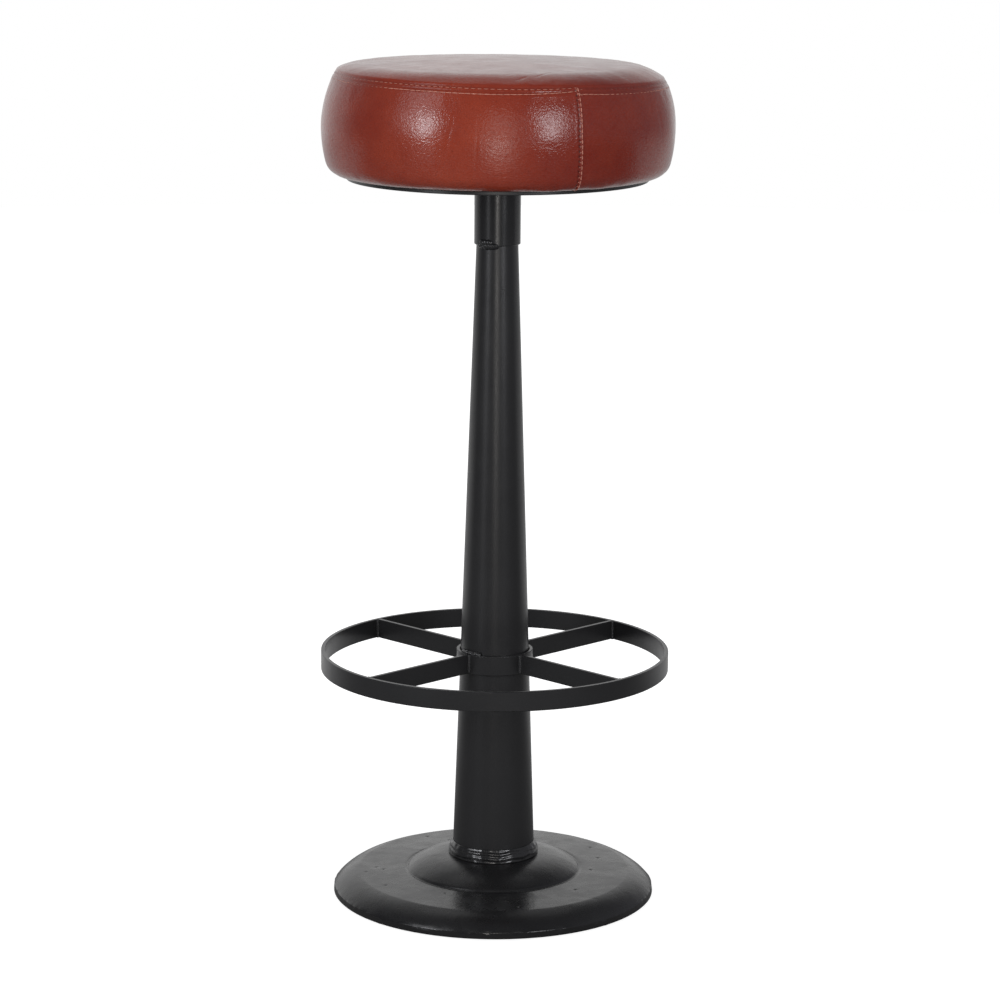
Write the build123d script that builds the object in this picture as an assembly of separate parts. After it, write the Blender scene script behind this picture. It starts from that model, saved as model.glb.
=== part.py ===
from build123d import *
import os
from math import asin, atan, atan2, cos, hypot, pi, sin

# Round upholstered bar stool whose seat swivels on a tapered pedestal.
# Millimetres, +Z up, origin on the floor under the column, front of the stool towards -Y.

# Overall height, floor to crown of the cushion
OVERALL_HEIGHT = 820.0

# Clearances
PUSH_FIT = 0.1              # radial, between pieces that are pressed, screwed or welded together
RUNNING_FIT = 0.06          # radial, spindle in its bushes
AXIAL_PLAY = 0.3            # lift of the spindle before its washer meets the lower bush
SOFT_GAP = 0.3              # foam to leather, and foam to the edge of the board

# Rubber pads under the foot
PAD_COUNT = 4
PAD_THICKNESS = 1.5
PAD_MARGIN = 3.5            # pad to each edge of the rim's flat underside

# Cast foot, from its rim inwards
FOOT_RADIUS = 158.0
RIM_LAND = 18.0             # flat underside of the rim
RIM_DRAFT = 5.0             # slope of the rim's inner wall
LIP_HEIGHT = 6.2
LIP_DRAFT = 0.6
BEVEL_WIDTH = 23.8
BEVEL_RISE = 14.2
BEVEL_BULGE = 2.4
FLAT_WIDTH = 48.3
FLAT_RISE = 2.6
DOME_RISE = 15.0
DOME_BULGE = 3.2
CASTING_WALL = 8.5
ACCESS_RADIUS = 30.0        # hole through the hub, for a socket on the spindle nut
SPIGOT_HEIGHT = 8.0

# Tapered column and the weld round its foot
COLUMN_FOOT_RADIUS = 40.3
COLUMN_WALL = 2.0
COLUMN_INSERTION = 18.0     # length of the column inside the swivel housing
WELD_LEG = 3.9
WELD_HEIGHT = 13.5
WELD_BULGE = 1.2

# Foot rest of flat bar set on edge
FOOTREST_TOP = 247.0
FOOT_RING_RADIUS = 170.0
BAR_HEIGHT = 19.0
BAR_THICKNESS = 4.0
BAR_EDGE = 0.6              # rounding of the bar's corners
COLLAR_WALL = 3.2
SPOKE_BEAD_LEG = 2.6        # corner weld along the spoke and along the ring or collar
SPOKE_BEAD_SETBACK = 0.8    # corner weld inside the edges of the bar
COLLAR_TACK_HEIGHT = 3.5
COLLAR_TACK_SPAN = 36.0     # degrees round the column
COLLAR_TACK_ANGLE = 227.0   # degrees from +X to the middle of the tack
SPOKE_ANGLES = {"back_right": 45, "back_left": 135, "front_left": 225, "front_right": 315}

# Swivel housing and its two flanged bushes
HOUSING_RADIUS = 22.25
HOUSING_WALL = 2.0
HOUSING_LENGTH = 60.6
HOUSING_EDGE = 0.9
HOUSING_TACK_HEIGHT = 5.0
HOUSING_TACK_SPAN = 56.0    # degrees round the column
HOUSING_TACK_ANGLE = 244.0  # degrees from +X to the middle of the tack
BUSH_FLANGE = 1.5
BUSH_LENGTH = 15.0
FLANGE_INSET = 0.6          # upper flange inside the housing's outline

# Spindle, its washer and lock nut
SPINDLE_RADIUS = 10.0
THREAD_RADIUS = 8.0
THREAD_TAIL = 4.0           # thread past the nut
NUT_FLATS = 24.0
NUT_HEIGHT = 14.0
NUT_BEVEL = 1.6
WASHER_RADIUS = 15.0
WASHER_THICKNESS = 2.5

# Seat plate and the screws that hold the cushion to it
PLATE_INSET = 3.0           # plate inside the edge of the board
PLATE_THICKNESS = 4.0
PLATE_EDGE = 0.8
SCREW_COUNT = 4
SCREW_CIRCLE_RADIUS = 90.0
SCREW_RADIUS = 3.0
SCREW_HOLE_GAP = 0.3
SCREW_TIP_GAP = 2.5         # screw tip below the top of the board
SCREW_HEAD_RADIUS = 5.25
SCREW_HEAD_HEIGHT = 3.3
SCREW_SOCKET_FLATS = 4.0
SCREW_SOCKET_DEPTH = 1.9
SCREW_WASHER_RADIUS = 7.0
SCREW_WASHER_THICKNESS = 1.2
TEE_FLANGE_RADIUS = 9.5
TEE_FLANGE_THICKNESS = 1.5
TEE_BARREL_RADIUS = 4.2
TEE_BARREL_LENGTH = 11.0

# Cushion: board, foam and a leather cover of a top panel and a side band
SEAT_RADIUS = 168.4         # widest part of the side band
CUSHION_HEIGHT = 109.0      # plate to crown
WIDEST_HEIGHT = 47.0        # plate to the widest part
FOAM_WRAP = 21.2            # edge of the board to the widest part
BAND_SWELL = 3.7            # widest part past the lower corner's own roundness
SEAM_INSET = 9.4            # perimeter seam inside the widest part
SEAM_DROP = 19.0            # perimeter seam below the crown
TURNED_EDGE_HEIGHT = 5.9    # turned edge of the top panel, above the seam
TURNED_EDGE_LEAN = 3.6      # head of the turned edge inside the seam
SHOULDER_INSET = 40.4       # where the crown starts to roll over, inside the widest part
CROWN_DROP = 3.8            # fall of the crown from its middle to the shoulder
LEATHER = 1.5
HEM_WIDTH = 25.0            # leather folded under the board
BOARD_THICKNESS = 15.0
BOARD_VENT_RADIUS = 16.0    # hole in the board over the spindle's weld
STAPLE_COUNT = 24
STAPLE_INSET = 14.0         # staples inside the edge of the board
STAPLE_CROWN = 10.0
STAPLE_WIRE = 0.8
STAPLE_LEG = 8.0

# Heights and radii that follow
FOOT_BOTTOM = PAD_THICKNESS
LIP_TOP = (FOOT_RADIUS - LIP_DRAFT, FOOT_BOTTOM + LIP_HEIGHT)
FLAT_OUTER = (LIP_TOP[0] - BEVEL_WIDTH, LIP_TOP[1] + BEVEL_RISE)
FLAT_INNER = (FLAT_OUTER[0] - FLAT_WIDTH, FLAT_OUTER[1] + FLAT_RISE)
HUB_EDGE = (COLUMN_FOOT_RADIUS + WELD_LEG, FLAT_INNER[1] + DOME_RISE)
COLUMN_FOOT = HUB_EDGE[1]

PLATE_TOP = OVERALL_HEIGHT - CUSHION_HEIGHT
PLATE_BOTTOM = PLATE_TOP - PLATE_THICKNESS
HOUSING_TOP = PLATE_BOTTOM - BUSH_FLANGE
HOUSING_MOUTH = HOUSING_TOP - HOUSING_LENGTH
HOUSING_BORE = HOUSING_RADIUS - HOUSING_WALL
COLUMN_TOP = HOUSING_MOUTH + COLUMN_INSERTION
COLUMN_MOUTH_RADIUS = HOUSING_BORE - PUSH_FIT
COLUMN_TAPER = (COLUMN_FOOT_RADIUS - COLUMN_MOUTH_RADIUS) / (HOUSING_MOUTH - COLUMN_FOOT)

BUSH_BORE = SPINDLE_RADIUS + RUNNING_FIT
LOWER_BUSH_BOTTOM = COLUMN_TOP - BUSH_LENGTH
SPINDLE_SHOULDER = LOWER_BUSH_BOTTOM - AXIAL_PLAY
WASHER_BOTTOM = SPINDLE_SHOULDER - WASHER_THICKNESS
NUT_BOTTOM = WASHER_BOTTOM - NUT_HEIGHT

FOOTREST_BOTTOM = FOOTREST_TOP - BAR_HEIGHT

BOARD_RADIUS = SEAT_RADIUS - FOAM_WRAP
BOARD_BOTTOM = PLATE_TOP + LEATHER
BOARD_TOP = BOARD_BOTTOM + BOARD_THICKNESS
PLATE_RADIUS = BOARD_RADIUS - PLATE_INSET
CORNER_RADIUS = FOAM_WRAP - BAND_SWELL


def column_radius(height):
    """Outside radius of the tapered column at a height above the floor."""
    return COLUMN_FOOT_RADIUS - COLUMN_TAPER * (height - COLUMN_FOOT)


COLLAR_BORE = column_radius(FOOTREST_BOTTOM) + PUSH_FIT
COLLAR_RADIUS = COLLAR_BORE + COLLAR_WALL
SPOKE_START = COLLAR_RADIUS + PUSH_FIT
SPOKE_END = FOOT_RING_RADIUS - BAR_THICKNESS - PUSH_FIT


def at(point):
    """Point of a half section, given as radius and height, in the XZ plane."""
    return (point[0], 0, point[1])


def straight(*points):
    """Straight edges through points of a half section."""
    return Polyline(*[at(point) for point in points])


def leaving(start, end, direction):
    """Arc of a half section from start to end that leaves start along a direction."""
    return TangentArc(at(start), at(end), tangent=at(direction))


def bulged(start, end, bulge):
    """Arc of a half section that stands proud of its chord, to the left of the way it runs."""
    run = end[0] - start[0]
    rise = end[1] - start[1]
    lift = bulge / hypot(run, rise)
    middle = ((start[0] + end[0]) / 2 - lift * rise, (start[1] + end[1]) / 2 + lift * run)
    return ThreePointArc(at(start), at(middle), at(end))


def turned(*edges):
    """Solid turned about the stool's axis from a closed outline of edges."""
    return revolve(make_face(edges), Axis.Z)


def turned_polygon(*corners):
    """Solid turned about the stool's axis from a straight-sided section."""
    return turned(straight(*corners, corners[0]))


def turned_tube(inner, outer, bottom, top):
    """Plain tube or ring about the stool's axis."""
    return turned_polygon((inner, bottom), (outer, bottom), (outer, top), (inner, top))


def round_pattern(piece, radius, count):
    """Equal copies of a piece on a circle, the first half a step round from +X."""
    places = PolarLocations(radius, count, start_angle=180 / count)
    return Compound([place * piece for place in places])


def disc(radius, bottom, top):
    """Solid disc on the stool's axis."""
    height = top - bottom
    return Pos(0, 0, bottom) * Cylinder(radius, height, align=(Align.CENTER, Align.CENTER, Align.MIN))


def floor_pads():
    """Rubber pads stuck under the rim of the foot."""
    pad = disc(RIM_LAND / 2 - PAD_MARGIN, 0, PAD_THICKNESS)
    return round_pattern(pad, FOOT_RADIUS - RIM_LAND / 2, PAD_COUNT)


def base_casting():
    """Hollow cast foot: lip, rounded bevel, shallow flat, domed hub and a spigot inside the column."""
    spigot_top = COLUMN_FOOT + SPIGOT_HEIGHT
    spigot_radius = column_radius(spigot_top) - COLUMN_WALL - PUSH_FIT
    rim_inner = (FOOT_RADIUS - RIM_LAND, FOOT_BOTTOM)
    ceiling_outer = (rim_inner[0] - RIM_DRAFT, FLAT_OUTER[1] - CASTING_WALL)
    ceiling_inner = (FLAT_INNER[0], FLAT_INNER[1] - CASTING_WALL)
    hub_inner = (HUB_EDGE[0], HUB_EDGE[1] - CASTING_WALL)
    return turned(
        straight((FOOT_RADIUS, FOOT_BOTTOM), LIP_TOP),
        bulged(FLAT_OUTER, LIP_TOP, BEVEL_BULGE),
        straight(FLAT_OUTER, FLAT_INNER),
        bulged(HUB_EDGE, FLAT_INNER, DOME_BULGE),
        straight(
            HUB_EDGE,
            (spigot_radius, COLUMN_FOOT),
            (spigot_radius, spigot_top),
            (ACCESS_RADIUS, spigot_top),
            (ACCESS_RADIUS, hub_inner[1]),
            hub_inner,
        ),
        bulged(hub_inner, ceiling_inner, DOME_BULGE),
        straight(ceiling_inner, ceiling_outer, rim_inner, (FOOT_RADIUS, FOOT_BOTTOM)),
    )


def column():
    """Conical steel tube from the hub of the foot into the swivel housing."""
    foot = column_radius(COLUMN_FOOT)
    top = column_radius(COLUMN_TOP)
    return turned_polygon(
        (foot - COLUMN_WALL, COLUMN_FOOT),
        (foot, COLUMN_FOOT),
        (top, COLUMN_TOP),
        (top - COLUMN_WALL, COLUMN_TOP),
    )


def column_foot_weld():
    """Bead laid round the foot of the column, on the edge of the hub."""
    toe = (HUB_EDGE[0] - PUSH_FIT, COLUMN_FOOT)
    root = (column_radius(COLUMN_FOOT) + PUSH_FIT, COLUMN_FOOT)
    crest = (column_radius(COLUMN_FOOT + WELD_HEIGHT) + PUSH_FIT, COLUMN_FOOT + WELD_HEIGHT)
    return turned(straight(crest, root, toe), bulged(crest, toe, WELD_BULGE))


def flat_bar_ring(inner, outer):
    """Ring rolled from flat bar on edge, with its four corners rounded."""
    section = RectangleRounded(outer - inner, BAR_HEIGHT, BAR_EDGE)
    middle = Pos((inner + outer) / 2, FOOTREST_BOTTOM + BAR_HEIGHT / 2)
    return revolve(Plane.XZ * middle * section, Axis.Z)


def foot_spoke(angle):
    """Flat bar on edge between the collar and the foot ring, its ends cut to their curves."""
    bar = Box(SPOKE_END, BAR_THICKNESS, BAR_HEIGHT, align=(Align.MIN, Align.CENTER, Align.MIN))
    bar = Pos(0, 0, FOOTREST_BOTTOM) * fillet(bar.edges().filter_by(Axis.X), BAR_EDGE)
    return Rot(0, 0, angle) * (bar & turned_tube(SPOKE_START, SPOKE_END, FOOTREST_BOTTOM, FOOTREST_TOP))


def spoke_welds():
    """Corner beads on both faces of every spoke, at its collar end and at its ring end."""
    face = BAR_THICKNESS / 2 + PUSH_FIT
    bottom = FOOTREST_BOTTOM + SPOKE_BEAD_SETBACK
    top = FOOTREST_TOP - SPOKE_BEAD_SETBACK
    room = turned_tube(SPOKE_START, SPOKE_END, bottom, top)
    beads = []
    for corner, inwards in ((SPOKE_START, SPOKE_BEAD_LEG), (SPOKE_END, -SPOKE_BEAD_LEG)):
        section = Polyline(
            (corner + inwards, face),
            (corner - inwards, face),
            (corner - inwards, face + 2 * SPOKE_BEAD_LEG),
            close=True,
        )
        bead = room & Pos(0, 0, bottom) * extrude(make_face(section), top - bottom)
        beads += [bead, mirror(bead, about=Plane.XZ)]
    return Compound([Rot(0, 0, angle) * bead for angle in SPOKE_ANGLES.values() for bead in beads])


def tack_weld(corners, span, angle):
    """Short bead round the column from a straight-sided section, over a span of degrees about an angle."""
    section = make_face(straight(*corners, corners[0]))
    return Rot(0, 0, angle - span / 2) * revolve(section, Axis.Z, revolution_arc=span)


def collar_tack_weld():
    """Tack between the top of the collar and the column, beside the front left spoke."""
    crest = FOOTREST_TOP + COLLAR_TACK_HEIGHT
    corners = [
        (column_radius(FOOTREST_TOP) + PUSH_FIT, FOOTREST_TOP),
        (COLLAR_RADIUS - BAR_EDGE, FOOTREST_TOP),
        (column_radius(crest) + PUSH_FIT, crest),
    ]
    return tack_weld(corners, COLLAR_TACK_SPAN, COLLAR_TACK_ANGLE)


def housing_tack_weld():
    """Tack under the mouth of the swivel housing, to the left of the front."""
    toe = HOUSING_MOUTH - HOUSING_TACK_HEIGHT
    corners = [
        (column_radius(HOUSING_MOUTH) + PUSH_FIT, HOUSING_MOUTH),
        (column_radius(toe) + PUSH_FIT, toe),
        (HOUSING_RADIUS - HOUSING_EDGE, HOUSING_MOUTH),
    ]
    return tack_weld(corners, HOUSING_TACK_SPAN, HOUSING_TACK_ANGLE)


def swivel_housing():
    """Short tube on the head of the column that carries both bushes."""
    tube = turned_tube(HOUSING_BORE, HOUSING_RADIUS, HOUSING_MOUTH, HOUSING_TOP)
    mouth_edge = tube.edges().group_by(Axis.Z)[0].sort_by(SortBy.RADIUS)[-1]
    return fillet(mouth_edge, HOUSING_EDGE)


def flanged_bush(seat, flange_radius, body_radius):
    """Plain bearing bush that hangs in a bore from a flange resting on seat."""
    flange_top = seat + BUSH_FLANGE
    return turned_polygon(
        (BUSH_BORE, seat - BUSH_LENGTH),
        (body_radius, seat - BUSH_LENGTH),
        (body_radius, seat),
        (flange_radius, seat),
        (flange_radius, flange_top),
        (BUSH_BORE, flange_top),
    )


def upper_bush():
    """Bush in the mouth of the housing; the seat plate turns on its flange."""
    return flanged_bush(HOUSING_TOP, HOUSING_RADIUS - FLANGE_INSET, HOUSING_BORE - PUSH_FIT)


def lower_bush():
    """Bush in the head of the column, inside the housing."""
    bore = column_radius(COLUMN_TOP) - COLUMN_WALL
    return flanged_bush(COLUMN_TOP, HOUSING_BORE - PUSH_FIT, bore - PUSH_FIT)


def spindle():
    """Stepped shaft: a spigot in the seat plate, a journal through both bushes and a threaded end."""
    tip = NUT_BOTTOM - THREAD_TAIL
    return turned_polygon(
        (0, tip),
        (THREAD_RADIUS, tip),
        (THREAD_RADIUS, SPINDLE_SHOULDER),
        (SPINDLE_RADIUS, SPINDLE_SHOULDER),
        (SPINDLE_RADIUS, PLATE_BOTTOM),
        (THREAD_RADIUS, PLATE_BOTTOM),
        (THREAD_RADIUS, PLATE_TOP),
        (0, PLATE_TOP),
    )


def spindle_washer():
    """Washer that keeps the spindle from lifting out of the lower bush."""
    return turned_tube(THREAD_RADIUS + PUSH_FIT, WASHER_RADIUS, WASHER_BOTTOM, SPINDLE_SHOULDER)


def spindle_nut():
    """Hexagon lock nut with bevelled corners."""
    hexagon = RegularPolygon(NUT_FLATS / 2, 6, major_radius=False)
    blank = Pos(0, 0, NUT_BOTTOM) * extrude(hexagon, NUT_HEIGHT)
    corner = NUT_FLATS / (2 * cos(pi / 6))
    face = NUT_FLATS / 2
    envelope = turned_polygon(
        (THREAD_RADIUS + PUSH_FIT, NUT_BOTTOM),
        (face, NUT_BOTTOM),
        (corner, NUT_BOTTOM + NUT_BEVEL),
        (corner, WASHER_BOTTOM),
        (THREAD_RADIUS + PUSH_FIT, WASHER_BOTTOM),
    )
    return blank & envelope


def seat_plate():
    """Steel disc under the cushion, with the spindle's hole and the screw holes."""
    plate = disc(PLATE_RADIUS, PLATE_BOTTOM, PLATE_TOP)
    plate = fillet(plate.edges(), PLATE_EDGE)
    screw_hole = disc(SCREW_RADIUS + SCREW_HOLE_GAP, PLATE_BOTTOM, PLATE_TOP)
    plate -= round_pattern(screw_hole, SCREW_CIRCLE_RADIUS, SCREW_COUNT)
    return plate - disc(THREAD_RADIUS + PUSH_FIT, PLATE_BOTTOM, PLATE_TOP)


def seat_screws():
    """Button-head screws driven up through the plate into the tee nuts."""
    seat = PLATE_BOTTOM - SCREW_WASHER_THICKNESS
    head_bottom = seat - SCREW_HEAD_HEIGHT
    tip = BOARD_TOP - SCREW_TIP_GAP
    crown = (0, head_bottom)
    rim = (SCREW_HEAD_RADIUS, seat)
    screw = turned(
        leaving(crown, rim, (1, 0)),
        straight(rim, (SCREW_RADIUS, seat), (SCREW_RADIUS, tip), (0, tip), crown),
    )
    socket = extrude(RegularPolygon(SCREW_SOCKET_FLATS / 2, 6, major_radius=False), SCREW_SOCKET_DEPTH)
    screw -= Pos(0, 0, head_bottom) * socket
    return round_pattern(screw, SCREW_CIRCLE_RADIUS, SCREW_COUNT)


def screw_washers():
    """Plain washers under the screw heads."""
    bore = SCREW_RADIUS + SCREW_HOLE_GAP
    washer = turned_tube(bore, SCREW_WASHER_RADIUS, PLATE_BOTTOM - SCREW_WASHER_THICKNESS, PLATE_BOTTOM)
    return round_pattern(washer, SCREW_CIRCLE_RADIUS, SCREW_COUNT)


def tee_nuts():
    """Threaded inserts let into the top of the board."""
    bore = SCREW_RADIUS + PUSH_FIT
    barrel_bottom = BOARD_TOP - TEE_FLANGE_THICKNESS - TEE_BARREL_LENGTH
    nut = turned_polygon(
        (bore, barrel_bottom),
        (TEE_BARREL_RADIUS, barrel_bottom),
        (TEE_BARREL_RADIUS, BOARD_TOP - TEE_FLANGE_THICKNESS),
        (TEE_FLANGE_RADIUS, BOARD_TOP - TEE_FLANGE_THICKNESS),
        (TEE_FLANGE_RADIUS, BOARD_TOP),
        (bore, BOARD_TOP),
    )
    return round_pattern(nut, SCREW_CIRCLE_RADIUS, SCREW_COUNT)


def seat_board():
    """Plywood disc with counterbored holes for the tee nuts and a vent over the spindle."""
    board = disc(BOARD_RADIUS, BOARD_BOTTOM, BOARD_TOP)
    barrel = disc(TEE_BARREL_RADIUS + PUSH_FIT, BOARD_BOTTOM, BOARD_TOP)
    flange = disc(TEE_FLANGE_RADIUS + PUSH_FIT, BOARD_TOP - TEE_FLANGE_THICKNESS, BOARD_TOP)
    board -= round_pattern(barrel, SCREW_CIRCLE_RADIUS, SCREW_COUNT)
    board -= round_pattern(flange, SCREW_CIRCLE_RADIUS, SCREW_COUNT)
    return board - disc(BOARD_VENT_RADIUS, BOARD_BOTTOM, BOARD_TOP)


def cushion_edges(inset):
    """Cushion outline moved inwards by an inset: the crown and its turned edge, the band, and its ends."""
    crown_height = OVERALL_HEIGHT
    shoulder_radius = SEAT_RADIUS - SHOULDER_INSET
    shoulder_height = crown_height - CROWN_DROP
    shoulder_slope = 2 * atan(CROWN_DROP / shoulder_radius)
    seam_radius = SEAT_RADIUS - SEAM_INSET
    seam_height = crown_height - SEAM_DROP
    widest_height = PLATE_TOP + WIDEST_HEIGHT
    edge_radius = seam_radius - TURNED_EDGE_LEAN
    edge_height = seam_height + TURNED_EDGE_HEIGHT
    roll_chord = atan2(shoulder_height - edge_height, edge_radius - shoulder_radius)
    band_chord = atan2(SEAM_INSET, seam_height - widest_height)
    turned_slope = atan2(TURNED_EDGE_HEIGHT, TURNED_EDGE_LEAN)
    edge_slope = (2 * roll_chord - shoulder_slope + turned_slope) / 2
    seam_slope = (turned_slope + pi / 2 - 2 * band_chord) / 2
    corner_height = PLATE_TOP + CORNER_RADIUS
    corner_rise = widest_height - corner_height
    band_radius = (FOAM_WRAP**2 + corner_rise**2 - CORNER_RADIUS**2) / (2 * BAND_SWELL)
    tuck = asin(corner_rise / (band_radius - CORNER_RADIUS))
    corner_inner = CORNER_RADIUS - inset

    crown = (0, crown_height - inset)
    shoulder = (shoulder_radius - inset * sin(shoulder_slope), shoulder_height - inset * cos(shoulder_slope))
    edge = (edge_radius - inset * sin(edge_slope), edge_height - inset * cos(edge_slope))
    seam = (seam_radius - inset * sin(seam_slope), seam_height - inset * cos(seam_slope))
    widest = (SEAT_RADIUS - inset, widest_height)
    corner = (BOARD_RADIUS + corner_inner * cos(tuck), corner_height - corner_inner * sin(tuck))
    hem = (BOARD_RADIUS, PLATE_TOP + inset)

    top = [
        leaving(crown, shoulder, (1, 0)),
        leaving(shoulder, edge, (cos(shoulder_slope), -sin(shoulder_slope))),
        straight(edge, seam),
    ]
    band = [
        leaving(widest, seam, (0, 1)),
        leaving(widest, corner, (0, -1)),
        leaving(hem, corner, (1, 0)),
    ]
    return top, band, crown, seam, hem


def leather_top_panel():
    """Round leather panel over the crown, down to the perimeter seam."""
    outer, _, outer_crown, outer_seam, _ = cushion_edges(0)
    inner, _, inner_crown, inner_seam, _ = cushion_edges(LEATHER)
    return turned(*outer, straight(outer_seam, inner_seam), *inner, straight(inner_crown, outer_crown))


def leather_side_band():
    """Leather band from the perimeter seam round the side, folded under the board as a hem."""
    _, outer, _, outer_seam, outer_hem = cushion_edges(0)
    _, inner, _, inner_seam, inner_hem = cushion_edges(LEATHER)
    hem_end = BOARD_RADIUS - HEM_WIDTH
    hem = straight(outer_hem, (hem_end, outer_hem[1]), (hem_end, inner_hem[1]), inner_hem)
    return turned(straight(outer_seam, inner_seam), *outer, hem, *inner)


def seat_foam():
    """Crowned foam block that sits on the board and wraps down round its edge."""
    top, band, crown, _, hem = cushion_edges(LEATHER + SOFT_GAP)
    block = turned(*top, *band, straight(hem, (0, hem[1]), crown))
    return block - disc(BOARD_RADIUS + SOFT_GAP, PLATE_TOP, BOARD_TOP)


def hem_staples():
    """Wire staples that hold the hem to the underside of the board."""
    upright = (Align.CENTER, Align.CENTER, Align.MIN)
    crown = Box(STAPLE_WIRE, STAPLE_CROWN, STAPLE_WIRE, align=upright)
    leg = Box(STAPLE_WIRE, STAPLE_WIRE, STAPLE_LEG, align=upright)
    leg_offset = (STAPLE_CROWN - STAPLE_WIRE) / 2
    staple = crown + Pos(0, leg_offset, 0) * leg + Pos(0, -leg_offset, 0) * leg
    return round_pattern(Pos(0, 0, PLATE_TOP) * staple, BOARD_RADIUS - STAPLE_INSET, STAPLE_COUNT)


NODES = {
    "floor_pads": floor_pads(),
    "base_casting": base_casting(),
    "column": column(),
    "column_foot_weld": column_foot_weld(),
    "foot_ring": flat_bar_ring(FOOT_RING_RADIUS - BAR_THICKNESS, FOOT_RING_RADIUS),
    "foot_collar": flat_bar_ring(COLLAR_BORE, COLLAR_RADIUS),
    "spoke_welds": spoke_welds(),
    "collar_tack_weld": collar_tack_weld(),
    "swivel_housing": swivel_housing(),
    "housing_tack_weld": housing_tack_weld(),
    "upper_bush": upper_bush(),
    "lower_bush": lower_bush(),
    "spindle": spindle(),
    "spindle_washer": spindle_washer(),
    "spindle_nut": spindle_nut(),
    "seat_plate": seat_plate(),
    "seat_screws": seat_screws(),
    "screw_washers": screw_washers(),
    "tee_nuts": tee_nuts(),
    "seat_board": seat_board(),
    "seat_foam": seat_foam(),
    "leather_top_panel": leather_top_panel(),
    "leather_side_band": leather_side_band(),
    "hem_staples": hem_staples(),
}
for corner_name, spoke_angle in SPOKE_ANGLES.items():
    NODES[f"foot_spoke_{corner_name}"] = foot_spoke(spoke_angle)

os.makedirs("parts", exist_ok=True)
for name, shape in NODES.items():
    export_step(shape, f"parts/{name}.step")
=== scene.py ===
from functools import cache
from math import asin, atan, cos, hypot, pi, radians, sin
from typing import NamedTuple

import bpy
import numpy as np
from bpy.props import FloatProperty, FloatVectorProperty, IntProperty, PointerProperty
from mathutils import Matrix, Vector, noise


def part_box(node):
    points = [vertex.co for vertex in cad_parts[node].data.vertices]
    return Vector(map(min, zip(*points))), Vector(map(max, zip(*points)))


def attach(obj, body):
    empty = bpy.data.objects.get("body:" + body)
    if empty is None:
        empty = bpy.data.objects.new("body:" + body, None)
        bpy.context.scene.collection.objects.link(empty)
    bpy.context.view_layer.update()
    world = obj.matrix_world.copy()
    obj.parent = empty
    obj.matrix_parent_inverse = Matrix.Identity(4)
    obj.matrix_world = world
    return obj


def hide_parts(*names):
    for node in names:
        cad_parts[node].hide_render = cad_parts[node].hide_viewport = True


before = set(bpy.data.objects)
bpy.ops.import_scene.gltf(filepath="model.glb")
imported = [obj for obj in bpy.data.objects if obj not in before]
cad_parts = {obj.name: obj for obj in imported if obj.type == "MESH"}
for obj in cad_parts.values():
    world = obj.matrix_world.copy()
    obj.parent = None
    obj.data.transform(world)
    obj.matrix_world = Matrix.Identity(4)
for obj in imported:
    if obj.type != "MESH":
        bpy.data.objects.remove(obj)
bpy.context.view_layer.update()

bl_info = {
    "name": "Swivel Bar Stool",
    "version": (1, 0, 0),
    "blender": (4, 5, 0),
    "location": "3D View > Sidebar > Stool",
    "description": "Dresses a swivel bar stool with its cushion, stitching, cast foot, welds and paint",
    "category": "Object",
}

# Boxes of the nodes that the pieces are fitted to
BAND_LOW, BAND_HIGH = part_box("leather_side_band")
TOP_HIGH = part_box("leather_top_panel")[1]
BOARD_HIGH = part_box("seat_board")[1]
CASTING_LOW, CASTING_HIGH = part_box("base_casting")
COLUMN_LOW, COLUMN_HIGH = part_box("column")
HOUSING_LOW, HOUSING_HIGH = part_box("swivel_housing")
RING_LOW, RING_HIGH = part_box("foot_ring")
COLLAR_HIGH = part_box("foot_collar")[1]
WELD_LOW, WELD_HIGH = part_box("column_foot_weld")

MM = 0.001
FRONT = radians(-90)


# Property helpers
def length(name, text, default):
    return FloatProperty(name=name, description=text, default=default, unit="LENGTH", precision=5)


def turn(name, text, default):
    return FloatProperty(name=name, description=text, default=radians(default), subtype="ANGLE")


def amount(name, text, default):
    return FloatProperty(name=name, description=text, default=default, precision=3)


def colour(name, text, default):
    return FloatVectorProperty(
        name=name, description=text, default=default, size=3, min=0, max=1, subtype="COLOR"
    )


class StoolCushion(bpy.types.PropertyGroup):
    """Sizes of the leather cushion"""

    seat_radius: length("Seat radius", "Widest part of the side band", BAND_HIGH.x)
    crown_height: length("Crown height", "Floor to the middle of the top", TOP_HIGH.z)
    plate_top: length("Plate top", "Floor to the plate that carries the cushion", BAND_LOW.z)
    board_radius: length("Board radius", "Edge of the board inside the cushion", BOARD_HIGH.x)
    widest_height: length("Widest height", "Plate to the widest part of the band", 47.0 * MM)
    swell: length("Band swell", "Widest part past the lower corner's roundness", 3.7 * MM)
    seam_inset: length("Seam inset", "Perimeter seam inside the widest part", 9.4 * MM)
    seam_drop: length("Seam drop", "Perimeter seam below the crown", 19.0 * MM)
    edge_height: length("Turned edge height", "Turned edge of the top panel above the seam", 5.9 * MM)
    edge_lean: length("Turned edge lean", "Turned edge inside the seam at its top", 3.6 * MM)
    shoulder_inset: length("Shoulder inset", "Where the top starts to roll over", 40.4 * MM)
    crown_drop: length("Crown drop", "Fall of the top from its middle to the shoulder", 3.8 * MM)
    leather: length("Leather", "Thickness of the leather", 1.4 * MM)
    hem_width: length("Hem width", "Leather folded under the board", 25.0 * MM)
    joint_turn: turn("Joint angle", "Upright joint of the band, round from the front", 26.5)
    groove_depth: length("Seam depth", "How deep the perimeter seam is drawn in", 0.4 * MM)
    unevenness: length("Unevenness", "Gentle rise and fall of the foam under the leather", 0.3 * MM)
    pressure: amount("Foam pressure", "Push of the foam while the leather settles", 3.0)
    slack: amount("Leather slack", "Spare leather that settles into puckers", 0.003)
    settle_limit: length("Settling limit", "Most that settling may move the leather", 0.16 * MM)


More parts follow.
